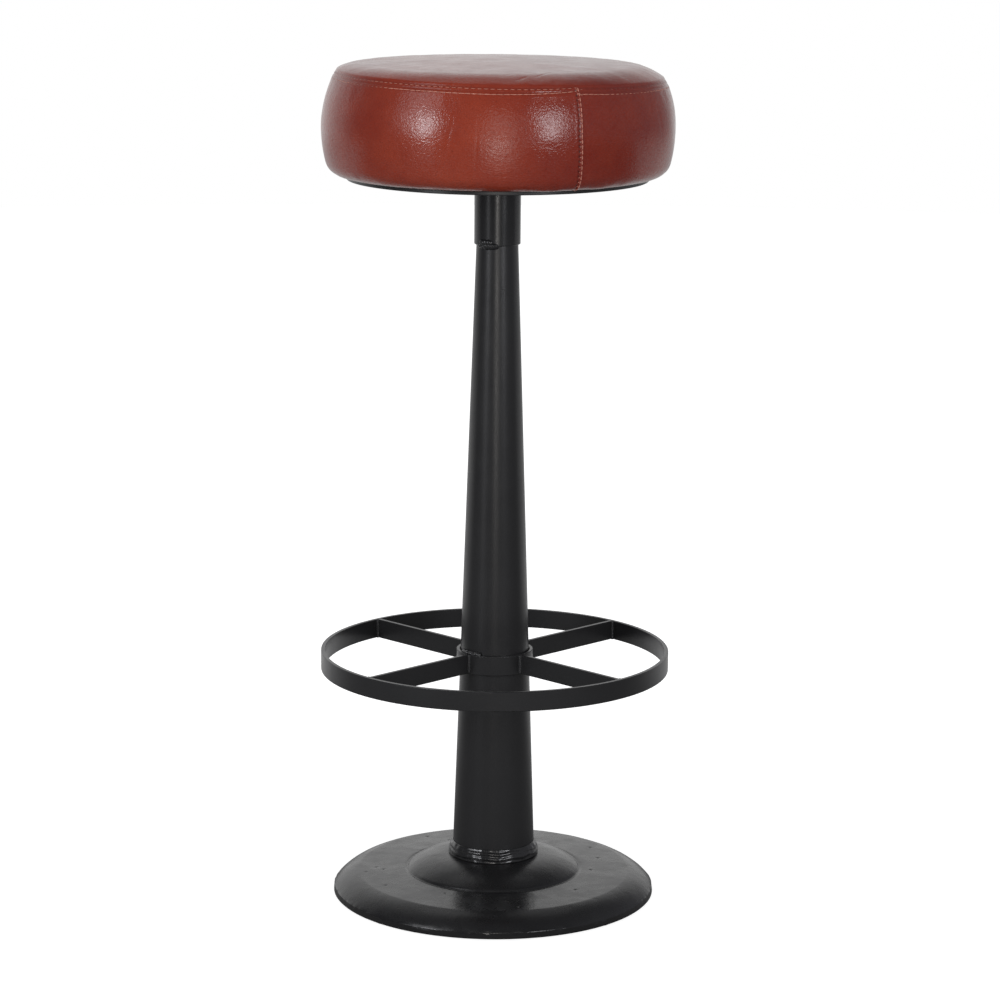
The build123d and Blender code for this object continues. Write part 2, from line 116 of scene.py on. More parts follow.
class StoolStitching(bpy.types.PropertyGroup):
    """Sizes of the stitching"""

    pitch: length("Pitch", "Stitch to stitch in the rows round the top", 6.0 * MM)
    joint_pitch: length("Joint pitch", "Stitch to stitch down the joint", 4.7 * MM)
    stitch: length("Stitch length", "Thread showing between two needle holes", 4.4 * MM)
    thread: length("Thread", "Thickness of the thread", 0.62 * MM)
    upper_row: length("Upper row", "Upper row above the seam", 2.8 * MM)
    lower_row: length("Lower row", "Lower row below the seam", 2.4 * MM)
    seed: IntProperty(name="Seed", description="Seed for the small differences between stitches", default=7)


class StoolCasting(bpy.types.PropertyGroup):
    """Sizes of the cast foot"""

    lip_height: length("Lip height", "Upright lip of the rim", 6.2 * MM)
    lip_draft: length("Lip draft", "Lean of the lip", 0.6 * MM)
    bevel_width: length("Bevel width", "Rounded bevel inside the lip", 23.8 * MM)
    bevel_rise: length("Bevel rise", "Rise of the bevel", 14.2 * MM)
    bevel_bulge: length("Bevel bulge", "Roundness of the bevel", 2.4 * MM)
    flat_width: length("Flat width", "Shallow slope inside the bevel", 48.3 * MM)
    flat_rise: length("Flat rise", "Rise of the shallow slope", 2.6 * MM)
    dome_bulge: length("Dome bulge", "Roundness of the hub's dome", 3.2 * MM)
    rim_land: length("Rim land", "Flat underside of the rim", 18.0 * MM)
    rim_draft: length("Rim draft", "Slope of the rim's inner wall", 5.0 * MM)
    wall: length("Wall", "Thickness of the casting", 8.5 * MM)
    access: length("Access radius", "Hole through the hub", 30.0 * MM)
    roughcast: length("Roughcast", "Unevenness of the cast surface", 0.28 * MM)
    chips: length("Chips", "Depth of the chips along the lip", 0.75 * MM)
    pits: length("Pits", "Depth of the pits in the top", 0.9 * MM)
    hub_groove: length("Hub groove", "Depth of the groove round the dome", 0.7 * MM)


class StoolFinish(bpy.types.PropertyGroup):
    """Colours of the finishes"""

    leather_light: colour("Leather light", "Worn lighter tone of the leather", (0.312, 0.046, 0.021))
    leather_dark: colour("Leather dark", "Deeper tone of the leather", (0.205, 0.022, 0.012))
    thread: colour("Thread", "Sewing thread", (0.70, 0.30, 0.225))
    paint: colour("Paint", "Satin black paint of the steel", (0.0205, 0.0205, 0.0216))
    casting: colour("Casting", "Black paint of the cast foot", (0.0125, 0.0125, 0.0131))
    rubber: colour("Rubber", "Pads under the foot", (0.030, 0.029, 0.028))
    zinc: colour("Zinc", "Plated fasteners", (0.62, 0.63, 0.64))
    bronze: colour("Bronze", "Bushes", (0.50, 0.33, 0.15))
    steel: colour("Steel", "Bright steel of the spindle", (0.56, 0.56, 0.57))
    plywood: colour("Plywood", "Board inside the cushion", (0.52, 0.37, 0.22))


class StoolStage(bpy.types.PropertyGroup):
    """Camera, floor and light"""

    distance: length("Distance", "Camera in front of the column", 3.1699)
    height: length("Height", "Camera above the floor", 1.0422)
    offset: length("Offset", "Camera to the right of the column", 4.2 * MM)
    pitch: turn("Pitch", "Camera tipped down", 11.542)
    roll: turn("Roll", "Camera turned about its view", 0.4)
    lens: FloatProperty(name="Lens", description="Focal length on a 36 mm sensor", default=119.93)
    left_light: amount("Left softbox", "Brightness of the left softbox", 11.4)
    glow_light: amount("Left glow", "Brightness of the wide screen behind the left softbox", 1.2)
    right_light: amount("Right softbox", "Brightness of the right softbox", 7.2)
    low_light: amount("Left low panel", "Brightness of the low panel on the left", 0.6)
    panel_light: amount("Front panel", "Brightness of the low panel in front", 0.8)
    strip_light: amount("Front strip", "Brightness of the small strip light in front", 7.0)
    backdrop: colour("Backdrop", "White surroundings", (1.0, 1.0, 1.0))
    room: colour("Room", "Dim room in front and overhead", (0.10, 0.10, 0.11))
    fill: colour("Fill", "Soft light from the room on matt surfaces", (0.35, 0.35, 0.35))
    floor: colour("Floor", "Pale floor in front", (0.30, 0.30, 0.30))
    floor_behind: colour("Floor behind", "Paler floor under the backdrop", (0.80, 0.80, 0.80))


class StoolSettings(bpy.types.PropertyGroup):
    """All settings of the stool"""

    cushion: PointerProperty(type=StoolCushion)
    stitching: PointerProperty(type=StoolStitching)
    casting: PointerProperty(type=StoolCasting)
    finish: PointerProperty(type=StoolFinish)
    stage: PointerProperty(type=StoolStage)


def settings():
    return bpy.context.scene.stool


# Half sections, as points of radius and height
def arc(start, end, direction, step=0.2 * MM):
    """Arc from start to end that leaves start along a direction, and the direction it ends in."""
    start, end, along = np.array(start), np.array(end), np.array(direction)
    side = np.array([-along[1], along[0]])
    chord = end - start
    sweep = 2 * np.arctan2(chord @ side, chord @ along)
    count = max(2, int(np.hypot(*chord) / step))
    share = np.linspace(0, 1, count)[:, None]
    if abs(sweep) < 1e-6:
        return start + share * chord, along
    radius = (chord @ chord) / (2 * (chord @ side))
    points = start + radius * (np.sin(sweep * share) * along + (1 - np.cos(sweep * share)) * side)
    return points, along * cos(sweep) + side * sin(sweep)


def line(start, end, step=0.2 * MM):
    count = max(2, int(hypot(end[0] - start[0], end[1] - start[1]) / step))
    return np.linspace(start, end, count)


def bulged(start, end, bulge):
    """Arc that stands proud of its chord, to the left of the way it runs."""
    run, rise = end[0] - start[0], end[1] - start[1]
    half = 2 * atan(2 * bulge / hypot(run, rise))
    chord = np.arctan2(rise, run)
    return arc(start, end, (cos(chord + half), sin(chord + half)))[0]


class Section:
    """Half section through runs of points, with the length along it at the end of each run."""

    def __init__(self, runs, rounding=0):
        points = np.concatenate([run if k == 0 else run[1:] for k, run in enumerate(runs)])
        steps = np.hypot(*np.diff(points, axis=0).T)
        self.ends = np.cumsum([np.hypot(*np.diff(run, axis=0).T).sum() for run in runs])
        self.total = steps.sum()
        self.along = np.concatenate([[0], np.cumsum(steps)])
        self.points = points
        if rounding:
            step = 0.1 * MM
            even = np.linspace(0, self.total, int(self.total / step))
            self.points = self.at(even)
            self.along = even
            half = int(rounding / step)
            window = np.hanning(2 * half + 3)[1:-1]
            window /= window.sum()
            padded = np.pad(self.points, ((half, half), (0, 0)), mode="reflect", reflect_type="odd")
            self.points = np.column_stack([np.convolve(padded[:, k], window, "valid") for k in (0, 1)])

    def at(self, along):
        return np.column_stack([np.interp(along, self.along, self.points[:, k]) for k in (0, 1)])

    def normals(self, along, reach=0.3 * MM):
        ahead = self.at(np.clip(along + reach, 0, self.total))
        behind = self.at(np.clip(along - reach, 0, self.total))
        run = ahead - behind
        run /= np.hypot(*run.T)[:, None]
        return np.column_stack([-run[:, 1], run[:, 0]])

    def stations(self, spacing, *fine):
        """Places along the section, closer together near each (place, spacing, reach) of fine."""
        even = np.linspace(0, self.total, 4000)
        density = np.full_like(even, 1 / spacing)
        for place, step, reach in fine:
            density += np.exp(-(((even - place) / reach) ** 2)) / step
        growth = np.concatenate([[0], np.cumsum((density[1:] + density[:-1]) / 2 * np.diff(even))])
        return np.interp(np.linspace(0, growth[-1], int(growth[-1]) + 1), growth, even)


# Shapes that go round
def bell(distance, reach):
    return np.exp(-((distance / reach) ** 2))


def ramp(distance, reach):
    """Straight rise from 0 to 1 over the reach."""
    return np.clip(distance / reach, 0, 1)


def rising(distance, reach):
    """Smooth step from 0 to 1 as the distance passes zero."""
    return 1 / (1 + np.exp(-distance / reach))


def wrapped(angle):
    """Angle brought to within half a turn of zero."""
    return (angle + pi) % (2 * pi) - pi


def turns_round(count):
    """Even angles round a whole turn."""
    return np.arange(count) * 2 * pi / count


def ripple(points, scale, seed):
    """Smooth noise between about -1 and 1 at each point."""
    flat = points.reshape(-1, 3) / scale + seed
    return np.array([noise.noise(p) for p in flat.tolist()]).reshape(points.shape[:-1])


def ripples(points, layers):
    """Sum of ripples, each with its share, its size in millimetres and its seed."""
    return sum(share * ripple(points, size * MM, seed) for share, size, seed in layers)


def swept(radius, height, angles):
    """Grid of points from radius and height, one row for each place along the section."""
    return np.stack([radius * np.cos(angles), radius * np.sin(angles), height], axis=-1)


def revolved(shape, angles):
    """Grid of a half section turned about the upright axis."""
    angles = np.atleast_2d(angles)
    return swept(shape[:, :1], np.repeat(shape[:, 1:], angles.shape[1], 1), angles)


def relieved(shape, facing, lift, angles):
    """Grid of a turned half section that is lifted off itself, the way it faces."""
    radius, height = shape[:, :1] + facing[:, :1] * lift, shape[:, 1:] + facing[:, 1:] * lift
    return swept(radius, height, angles[None, :])


def turned_mesh(name, grid, poles=None):
    """Closed mesh from a grid of rings, capped at two poles or else joined from last ring to first."""
    rings, columns = grid.shape[:2]
    index = np.arange(rings * columns).reshape(rings, columns)
    upper = index if poles is None else index[:-1]
    lower = np.roll(index, -1, axis=0) if poles is None else index[1:]
    quads = np.stack([upper, lower, np.roll(lower, -1, 1), np.roll(upper, -1, 1)], axis=-1)
    faces = quads.reshape(-1, 4).tolist()
    points = grid.reshape(-1, 3).tolist()
    if poles is not None:
        first, last = len(points), len(points) + 1
        points += [(0, 0, poles[0]), (0, 0, poles[1])]
        ahead = np.roll(index, -1, 1)
        faces += [(first, a, b) for a, b in zip(index[0].tolist(), ahead[0].tolist())]
        faces += [(last, b, a) for a, b in zip(index[-1].tolist(), ahead[-1].tolist())]
    mesh = bpy.data.meshes.new(name)
    mesh.from_pydata(points, [], faces)
    mesh.polygons.foreach_set("use_smooth", [True] * len(faces))
    mesh.update()
    return mesh


def placed(name, data):
    """New object in the scene."""
    made = bpy.data.objects.new(name, data)
    bpy.context.scene.collection.objects.link(made)
    return made


def painted(mesh, material):
    """Gives a mesh one material."""
    mesh.materials.clear()
    mesh.materials.append(material)


def add_piece(name, mesh, body, slot, *nodes, material=None):
    """New piece that rides on a body and stands for CAD nodes."""
    piece = placed(name, mesh)
    if material is not None:
        painted(mesh, material)
    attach(piece, body)
    if nodes:
        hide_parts(*nodes)
    return piece


# Leather creases: turn in degrees and millimetres below the seam at both ends, depth in millimetres
BAND_CREASES = (
    (-13.5, 16, -17.0, 62, 0.13),
    (-6.0, 22, -7.2, 82, 0.09),
    (62.0, 10, 66.0, 58, 0.2),
    (148.0, 8, 143.0, 66, 0.26),
    (-118.0, 14, -122.0, 74, 0.24),
)
TOP_CREASES = (
    (5.8, -15, 11.0, -24, 0.36),
    (12.6, -20, 24.0, -43, 0.42),
    (0.5, -22, 7.0, -39, 0.20),
    (-31.0, -18, -22.0, -36, 0.10),
    (96.0, -16, 104.0, -33, 0.16),
    (-150.0, -17, -141.0, -38, 0.18),
)
CREASE_REACH = 1.5 * MM

# Turns in degrees between which the cushion's columns lie closer, for the creases in front
CLOSE_TURNS = ((-17.0, -13.5), (-7.2, -6.0), (5.8, 20.5))

# Where a stitch row sinks into the leather: turns in degrees at both ends, depth in millimetres
UPPER_SUNK = ((25.0, 100.0, 0.35), (-100.0, -46.0, 0.26))
LOWER_SUNK = ((25.5, 100.0, 0.29), (-100.0, -37.0, 0.38))

# Seam: its reach and the painted shade in its groove, and the shares of its hang that go out and down
SEAM_REACH, SEAM_SHADE = 1.0 * MM, 0.2
HANG_OUT, HANG_DOWN = 0.47, 0.88

# Joint: its head above the seam, and its lean in millimetres at the seam, lower down and at the hem
JOINT_HEAD = 3 * MM
JOINT_LEAN = (0.6, -0.3, 2.4)

# Foam under the leather: share, size in millimetres and seed of its ripples, and the puckers beside the seam
FOAM_RIPPLES = ((1.0, 62, 3.1), (0.45, 24, 8.7))
PUCKER_DEPTH, PUCKER_SIZE, PUCKER_REACH, PUCKER_SEED = 0.18 * MM, 9 * MM, 9 * MM, 5.3
PUCKER_STRETCH = (1, 1, 0.35)

# Settling of the leather: columns and frames of the simulation, waves kept round the seat, cloth settings
SETTLING_COLUMNS, SETTLING_FRAMES, SETTLING_WAVES = 132, 20, 48
LEATHER_CLOTH = {
    "quality": 6,
    "mass": 0.4,
    "tension_stiffness": 20,
    "compression_stiffness": 20,
    "shear_stiffness": 8,
    "bending_stiffness": 0.6,
    "use_pressure": True,
}


class Relief(NamedTuple):
    """Form across a seam, in millimetres: its rise, place and reach, and how dark the painted shade in its
    fold is.
    """

    rise: float
    place: float
    reach: float
    dark: float = 0.0

    def shown(self, distance):
        return bell(distance - self.place * MM, self.reach * MM)


class Swelling(NamedTuple):
    """Swelling in millimetres: place and reach down and across the leather, rise and ripples."""

    down: float
    down_reach: float
    across: float
    across_reach: float
    rise: float
    uneven: float
    ripple_size: float
    seed: float

    def lift(self, down, across, points):
        shown = bell(down - self.down * MM, self.down_reach * MM)
        shown = shown * bell(across - self.across * MM, self.across_reach * MM)
        return MM * shown * (self.rise + self.uneven * ripple(points, self.ripple_size * MM, self.seed))


# Forms in the leather, placed down from the seam, a stitch row or the hem, and to the right of the joint
# The dark of the crease, the stitch holes and the joint groove is painted shade in them
EDGE_CREASE = Relief(rise=-0.2, place=-1.2, reach=0.9, dark=0.25)
SEAM_ROLL = Relief(rise=0.15, place=3.6, reach=2.2)
ROW_HOLES = Relief(rise=-0.25, place=0.0, reach=0.9, dark=0.35)
JOINT_GROOVE = Relief(rise=-0.2, place=0.0, reach=0.7, dark=0.15)
JOINT_HOLES = Relief(rise=-0.7, place=-1.3, reach=0.85, dark=1.3)
JOINT_RIDGE = Relief(rise=0.4, place=1.6, reach=1.2)
JOINT_SHOULDER = Relief(rise=0.1, place=-3.0, reach=1.8)
TOP_SWELLING = Swelling(
    down=-9, down_reach=8, across=-34, across_reach=38, rise=0.8, uneven=0.5, ripple_size=11, seed=4.4
)
HEM_SAG = Swelling(
    down=-7, down_reach=6, across=-4, across_reach=42, rise=0.9, uneven=1.1, ripple_size=15, seed=2.2
)


# Cushion
class CushionSurface:
    """Outer surface of the cushion as a grid, with the places of its seam and joint."""

    def __init__(self):
        c = settings().cushion
        self.section = self.outline(c)
        self.edge, self.seam = self.section.ends[1:3]
        self.hem, self.turn_in = self.section.ends[5:7]
        self.joint = FRONT + c.joint_turn
        self.along = self.rings()
        self.angles = self.columns(c)
        self.across = wrapped(self.angles - self.joint) * c.seat_radius
        self.grid, self.fold_shade = self.formed(c)

    def outline(self, c):
        crown = (0, c.crown_height)
        shoulder = (c.seat_radius - c.shoulder_inset, c.crown_height - c.crown_drop)
        seam = (c.seat_radius - c.seam_inset, c.crown_height - c.seam_drop)
        edge = (seam[0] - c.edge_lean, seam[1] + c.edge_height)
        widest = (c.seat_radius, c.plate_top + c.widest_height)
        wrap = c.seat_radius - c.board_radius
        corner = wrap - c.swell
        middle = (c.board_radius, c.plate_top + corner)
        rise = widest[1] - middle[1]
        band = (wrap**2 + rise**2 - corner**2) / (2 * c.swell)
        tuck = asin(rise / (band - corner))
        tuck_point = (middle[0] + corner * cos(tuck), middle[1] - corner * sin(tuck))
        hem = (c.board_radius, c.plate_top)
        hem_end = (c.board_radius - c.hem_width, c.plate_top)
        inside = (hem_end[0], c.plate_top + c.leather)
        top, rolling = arc(crown, shoulder, (1, 0))
        return Section(
            [
                top,
                arc(shoulder, edge, rolling)[0],
                line(edge, seam),
                arc(widest, seam, (0, 1))[0][::-1],
                arc(widest, tuck_point, (0, -1))[0],
                arc(hem, tuck_point, (1, 0))[0][::-1],
                line(hem, hem_end),
                line(hem_end, inside),
                line(inside, (0, inside[1])),
            ]
        )

    def rings(self):
        """Places of the grid's rings along the section: close at the seam, few under the seat."""
        along = self.section.stations(
            3.8 * MM,
            (self.seam - 1 * MM, 0.75 * MM, 5 * MM),
            (self.seam - 26 * MM, 1.4 * MM, 14 * MM),
            ((self.seam + self.hem) / 2, 1.7 * MM, 52 * MM),
        )
        shown = along[(along > 0) & (along < self.turn_in + 4 * MM)]
        hidden = np.linspace(self.turn_in + 6 * MM, self.section.total, 6)[:-1]
        return np.concatenate([shown, hidden])

    def columns(self, c):
        """Angles of the grid's columns: three to each stitch, closer at the joint and creases in front."""
        stitches = round(2 * pi * (c.seat_radius - c.seam_inset) / settings().stitching.pitch)
        even = self.joint + turns_round(3 * stitches)
        reach, step = 7 * MM, 0.4 * MM
        crease_margin, crease_step = 0.9, 0.8 * MM
        kept = even[np.abs(wrapped(even - self.joint)) * c.seat_radius > reach + step]
        close = self.joint + np.arange(-reach, reach + step / 2, step) / c.seat_radius
        for first, last in CLOSE_TURNS:
            low = self.joint + (FRONT + radians(first - crease_margin) - self.joint) % (2 * pi)
            high = low + radians(last - first + 2 * crease_margin)
            kept = kept[(kept < low) | (kept > high)]
            close = np.concatenate([close, np.arange(low, high, crease_step / c.seat_radius)])
        return np.sort(np.concatenate([kept, close]))

    def seam_hang(self):
        """How much lower the seam hangs at each column than a level seam."""
        tilt, bow, lift = 4.0 * MM, 0.4 * MM, 1.0 * MM
        sideways = np.sin(self.angles - FRONT)
        return tilt * sideways - bow * sideways**2 - lift

    def seam_drift(self):
        """How far the perimeter seam wanders along the section at each column, beside the joint."""
        left_rise, left_reach = 2.2 * MM, 60 * MM
        right_rise, right_reach = 0.9 * MM, 30 * MM
        left = left_rise * ramp(self.across + left_reach, left_reach) ** 2
        right = right_rise * bell(self.across, right_reach)
        return -np.where(self.across < 0, left, right)

    def closing(self):
        """How far the lower stitch row closes up on the seam at each column, left of the joint."""
        most, reach = 1.9 * MM, 80 * MM
        return np.where(self.across < 0, most * ramp(self.across + reach, reach), 0)

    def settled(self, c):
        """Puckers of the leather after a cloth simulation between the pinned seam and hem."""
        rings = self.section.stations(6 * MM, (self.seam, 3 * MM, 18 * MM))[1:-1]
        rings = rings[rings < self.turn_in]
        turns = turns_round(SETTLING_COLUMNS)
        start = revolved(self.section.at(rings), turns)
        count = start.size // 3
        mesh = turned_mesh("settling_leather", start, (c.crown_height, c.plate_top))
        cover = placed("settling_leather", mesh)
        scene = bpy.context.scene
        held = (np.abs(rings - (self.seam + self.edge) / 2) < 5 * MM) | (rings > self.hem - 6 * MM)
        held_points = np.repeat(held, len(turns)).nonzero()[0].tolist() + [count, count + 1]
        pins = cover.vertex_groups.new(name="sewn")
        pins.add(held_points, 1.0, "REPLACE")
        cloth = cover.modifiers.new("leather", "CLOTH")
        cloth.settings.vertex_group_mass = pins.name
        for key, value in LEATHER_CLOTH.items():
            setattr(cloth.settings, key, value)
        cloth.settings.uniform_pressure_force = c.pressure
        cloth.settings.shrink_min = -c.slack
        cloth.settings.effector_weights.gravity = 0
        cloth.collision_settings.use_collision = False
        cloth.collision_settings.use_self_collision = False
        cloth.point_cache.frame_start = 1
        cloth.point_cache.frame_end = SETTLING_FRAMES
        for step in range(1, SETTLING_FRAMES + 1):
            scene.frame_set(step)
        moved = cover.evaluated_get(bpy.context.evaluated_depsgraph_get()).to_mesh()
        places = np.empty(len(moved.vertices) * 3)
        moved.vertices.foreach_get("co", places)
        bpy.data.objects.remove(cover)
        bpy.data.meshes.remove(mesh)
        scene.frame_set(1)
        shift = places.reshape(-1, 3)[:count].reshape(start.shape) - start
        lift = (shift * revolved(self.section.normals(rings), turns)).sum(-1)
        waves = np.fft.rfft(lift, axis=1) / len(turns)
        order = np.arange(1, SETTLING_WAVES)
        lift = 2 * np.real(waves[:, order] @ np.exp(1j * np.outer(order, self.angles)))
        lift = c.settle_limit * np.tanh(lift / c.settle_limit)
        return np.stack([np.interp(self.along, rings, column) for column in lift.T], axis=1)

    def formed(self, c):
        """Points of the cushion with all its forms, and the painted shade in its folds and under the seat.
        """
        s = self.along[:, None]
        below = s - self.seam - self.seam_drift()
        on_cover = rising(self.hem - 2 * MM - s, 1.5 * MM)
        shape, facing = self.section.at(self.along), self.section.normals(self.along, 0.8 * MM)
        angles = self.leaning(c)
        lift, fold_shade = self.sewn(c, below, on_cover)
        lift = lift + self.cushioned(c, below, on_cover, revolved(shape, angles))
        lift = lift - sum(self.crease(c, below, *ends) for ends in BAND_CREASES + TOP_CREASES)
        hang = self.seam_hang() * bell(s - self.seam, 24 * MM)
        radius = shape[:, :1] + facing[:, :1] * lift + HANG_OUT * hang
        height = shape[:, 1:] + facing[:, 1:] * lift - HANG_DOWN * hang
        # Painted shade under the seat, where the leather turns under the board
        under = ramp(s - self.hem + 3 * MM, 5 * MM)
        return swept(radius, height, angles), np.maximum(np.clip(fold_shade, 0, 1), under)

    def leaning(self, c):
        """Angles of the grid's points, which follow the lean of the joint down the band."""
        places = (self.seam, self.seam + 40 * MM, self.hem)
        lean = np.interp(self.along, places, JOINT_LEAN) * MM
        return self.angles + lean[:, None] / c.seat_radius * bell(self.across, 30 * MM)

    def sewn(self, c, below, on_cover):
        """Lift of the leather at the seam, the stitch rows and the joint, and the painted shade in its
        folds.
        """
        stitch = settings().stitching
        s = self.along[:, None]
        row_hole = 0.5 + 0.5 * np.cos(2 * pi * self.across / stitch.pitch)
        joint_hole = (0.5 + 0.5 * np.cos(2 * pi * (s - self.edge) / stitch.joint_pitch)) ** 2
        on_joint = rising(s - self.seam + JOINT_HEAD, 0.8 * MM) * on_cover
        groove = bell(below, SEAM_REACH)
        # Painted shade in the seam groove, and below in the stitch holes, joint and crease
        lift, fold_shade = -c.groove_depth * groove, SEAM_SHADE * groove
        for form, distance, share in (
            (EDGE_CREASE, below + stitch.upper_row, 1),
            (SEAM_ROLL, below, 1),
            (ROW_HOLES, below + stitch.upper_row, row_hole),
            (ROW_HOLES, below - stitch.lower_row + self.closing(), row_hole),
            (JOINT_GROOVE, self.across, on_joint),
            (JOINT_HOLES, self.across, joint_hole * on_joint),
            (JOINT_RIDGE, self.across, on_joint),
            (JOINT_SHOULDER, self.across, on_joint),
        ):
            shown = form.shown(distance) * share
            lift = lift + form.rise * MM * shown
            fold_shade = fold_shade + form.dark * shown
        return lift, fold_shade

    def cushioned(self, c, below, on_cover, points):
        """Lift of the leather over the uneven foam, with its puckers and swellings."""
        on_band = rising(below, 2 * MM)
        pucker = ripple(points * PUCKER_STRETCH, PUCKER_SIZE, PUCKER_SEED)
        pucker = pucker * bell(np.abs(below) - PUCKER_REACH, PUCKER_REACH)
        uneven = c.unevenness * ripples(points, FOAM_RIPPLES) + PUCKER_DEPTH * pucker
        settled = self.settled(c) * (1 - 0.7 * bell(below, SEAM_REACH))
        lift = on_cover * (uneven * (0.15 + 0.85 * on_band) + settled * (0.4 + 0.6 * on_band))
        lift = lift + TOP_SWELLING.lift(below, self.across, points)
        return lift + HEM_SAG.lift(self.along[:, None] - self.hem, self.across, points)

    def crease(self, c, below, start_turn, start, end_turn, end, depth):
        """Shallow crease between two places, each an angle from the front and a length below the seam."""
        across = wrapped(self.angles - FRONT - radians(start_turn)) * c.seat_radius
        down = below - start * MM
        run, fall = radians(end_turn - start_turn) * c.seat_radius, (end - start) * MM
        reach = hypot(run, fall)
        share = ramp(across * run + down * fall, reach**2)
        apart = (across * fall - down * run) / reach
        return depth * MM * np.sin(pi * share) * bell(apart, CREASE_REACH)

    def sinking(self, spans):
        """How deep a stitch row lies in the leather at each column."""
        fade = 4.0
        turned = np.degrees(wrapped(self.angles - FRONT))
        depths = [
            depth * MM * ramp(turned - first, fade) * ramp(last - turned, fade)
            for first, last, depth in spans
        ]
        return np.sum(depths, axis=0)

    def row(self, below):
        """Points round the cushion on a line below the seam, with the way the leather faces there."""
        places = self.seam + below + self.seam_drift()
        points = [
            [np.interp(place, self.along, self.grid[:, k, axis]) for axis in range(3)]
            for k, place in enumerate(places)
        ]
        facing = self.section.normals(places, 1 * MM)
        return np.array(points), swept(facing[:, 0], facing[:, 1], self.angles)

    def upright(self, across, start, end):
        """Points down the band beside the joint, with the way the leather faces there."""
        angle = self.joint + across / settings().cushion.seat_radius
        places = np.linspace(start, end, 60)
        column = np.array(
            [[np.interp(angle, self.angles, ring[:, axis]) for axis in range(3)] for ring in self.grid]
        )
        points = np.column_stack([np.interp(places, self.along, column[:, axis]) for axis in range(3)])
        facing = self.section.normals(places, 1 * MM)
        return points, swept(facing[:, 0], facing[:, 1], np.full(len(places), angle))


@cache
def cushion_surface():
    return CushionSurface()


# Rows of stitches and weld puddles
def bead_row_tree():
    """Geometry Nodes tree that lays small rounded beads along a path, lying on the way it faces."""
    name = "bead_row"
    if name in bpy.data.node_groups:
        return bpy.data.node_groups[name]
    tree = bpy.data.node_groups.new(name, "GeometryNodeTree")
    tree.interface.new_socket(name="Path", in_out="INPUT", socket_type="NodeSocketGeometry")
    for label, kind in (
        ("Pitch", "NodeSocketFloat"),
        ("Size", "NodeSocketVector"),
        ("Turn", "NodeSocketFloat"),
        ("Variation", "NodeSocketFloat"),
        ("Seed", "NodeSocketInt"),
        ("Material", "NodeSocketMaterial"),
    ):
        tree.interface.new_socket(name=label, in_out="INPUT", socket_type=kind)
    tree.interface.new_socket(name="Beads", in_out="OUTPUT", socket_type="NodeSocketGeometry")
    given = tree.nodes.new("NodeGroupInput").outputs
    path = put(tree, "GeometryNodeMeshToCurve", Mesh=given["Path"])
    even = put(
        tree, "GeometryNodeResampleCurve", {"mode": "LENGTH"}, Curve=path.outputs[0], Length=given["Pitch"]
    )
    lift = put(tree, "GeometryNodeInputNamedAttribute", {"data_type": "FLOAT_VECTOR"}, Name="lift")
    upright = put(tree, "FunctionNodeAlignRotationToVector", {"axis": "Z"}, Vector=lift.outputs["Attribute"])
    along = put(
        tree,
        "FunctionNodeAlignRotationToVector",
        {"axis": "X", "pivot_axis": "Z"},
        Rotation=upright.outputs[0],
        Vector=tree.nodes.new("GeometryNodeInputTangent").outputs[0],
    )
    spin = put(tree, "FunctionNodeAxisAngleToRotation", Axis=(0, 0, 1), Angle=given["Turn"])
    laid = put(
        tree,
        "FunctionNodeRotateRotation",
        {"rotation_space": "LOCAL"},
        Rotation=along.outputs[0],
        Rotate_By=spin.outputs[0],
    )
    vary = put(
        tree,
        "FunctionNodeRandomValue",
        {"data_type": "FLOAT_VECTOR"},
        Min=maths(tree, "SUBTRACT", 1.0, given["Variation"]),
        Max=maths(tree, "ADD", 1.0, given["Variation"]),
        Seed=given["Seed"],
    )
    size = vectors(tree, "MULTIPLY", given["Size"], vary.outputs["Value"])
    bead = put(tree, "GeometryNodeMeshUVSphere", Segments=8, Rings=6, Radius=0.5)
    smooth = put(tree, "GeometryNodeSetShadeSmooth", Geometry=bead.outputs["Mesh"])
    beads = put(
        tree,
        "GeometryNodeInstanceOnPoints",
        Points=even.outputs[0],
        Instance=smooth.outputs[0],
        Rotation=laid.outputs[0],
        Scale=size,
    )
    real = put(tree, "GeometryNodeRealizeInstances", Geometry=beads.outputs[0])
    done = put(tree, "GeometryNodeSetMaterial", Geometry=real.outputs[0], Material=given["Material"])
    tree.links.new(done.outputs[0], tree.nodes.new("NodeGroupOutput").inputs[0])
    return tree


def path_mesh(name, paths):
    """Lines through points, each with the way it faces; a closed path is joined end to start."""
    mesh = bpy.data.meshes.new(name)
    points, facing, edges = [], [], []
    for line_points, line_facing, closed in paths:
        first, count = len(points), len(line_points)
        points += np.asarray(line_points).tolist()
        facing += np.asarray(line_facing).tolist()
        edges += [(first + k, first + k + 1) for k in range(count - 1)]
        if closed:
            edges.append((first + count - 1, first))
    mesh.from_pydata(points, edges, [])
    lift = mesh.attributes.new("lift", "FLOAT_VECTOR", "POINT")
    lift.data.foreach_set("vector", np.array(facing).ravel())
    return mesh


def bead_mesh(name, paths, pitch, size, material, turn=0.0, variation=0.06, seed=1):
    """Plain mesh of the beads laid along paths."""
    carrier = placed(name + "_path", path_mesh(name + "_path", paths))
    tree = bead_row_tree()
    rows = carrier.modifiers.new("beads", "NODES")
    rows.node_group = tree
    wanted = {
        "Pitch": pitch,
        "Size": size,
        "Turn": turn,
        "Variation": variation,
        "Seed": seed,
        "Material": material,
    }
    for socket in tree.interface.items_tree:
        if socket.in_out == "INPUT" and socket.name in wanted:
            rows[socket.identifier] = wanted[socket.name]
    made = carrier.evaluated_get(bpy.context.evaluated_depsgraph_get())
    mesh = bpy.data.meshes.new_from_object(made)
    mesh.name = name
    painted(mesh, material)
    mesh.polygons.foreach_set("material_index", [0] * len(mesh.polygons))
    path = carrier.data
    bpy.data.objects.remove(carrier)
    bpy.data.meshes.remove(path)
    if not len(mesh.polygons):
        raise RuntimeError(f"no beads were laid for {name}")
    return mesh


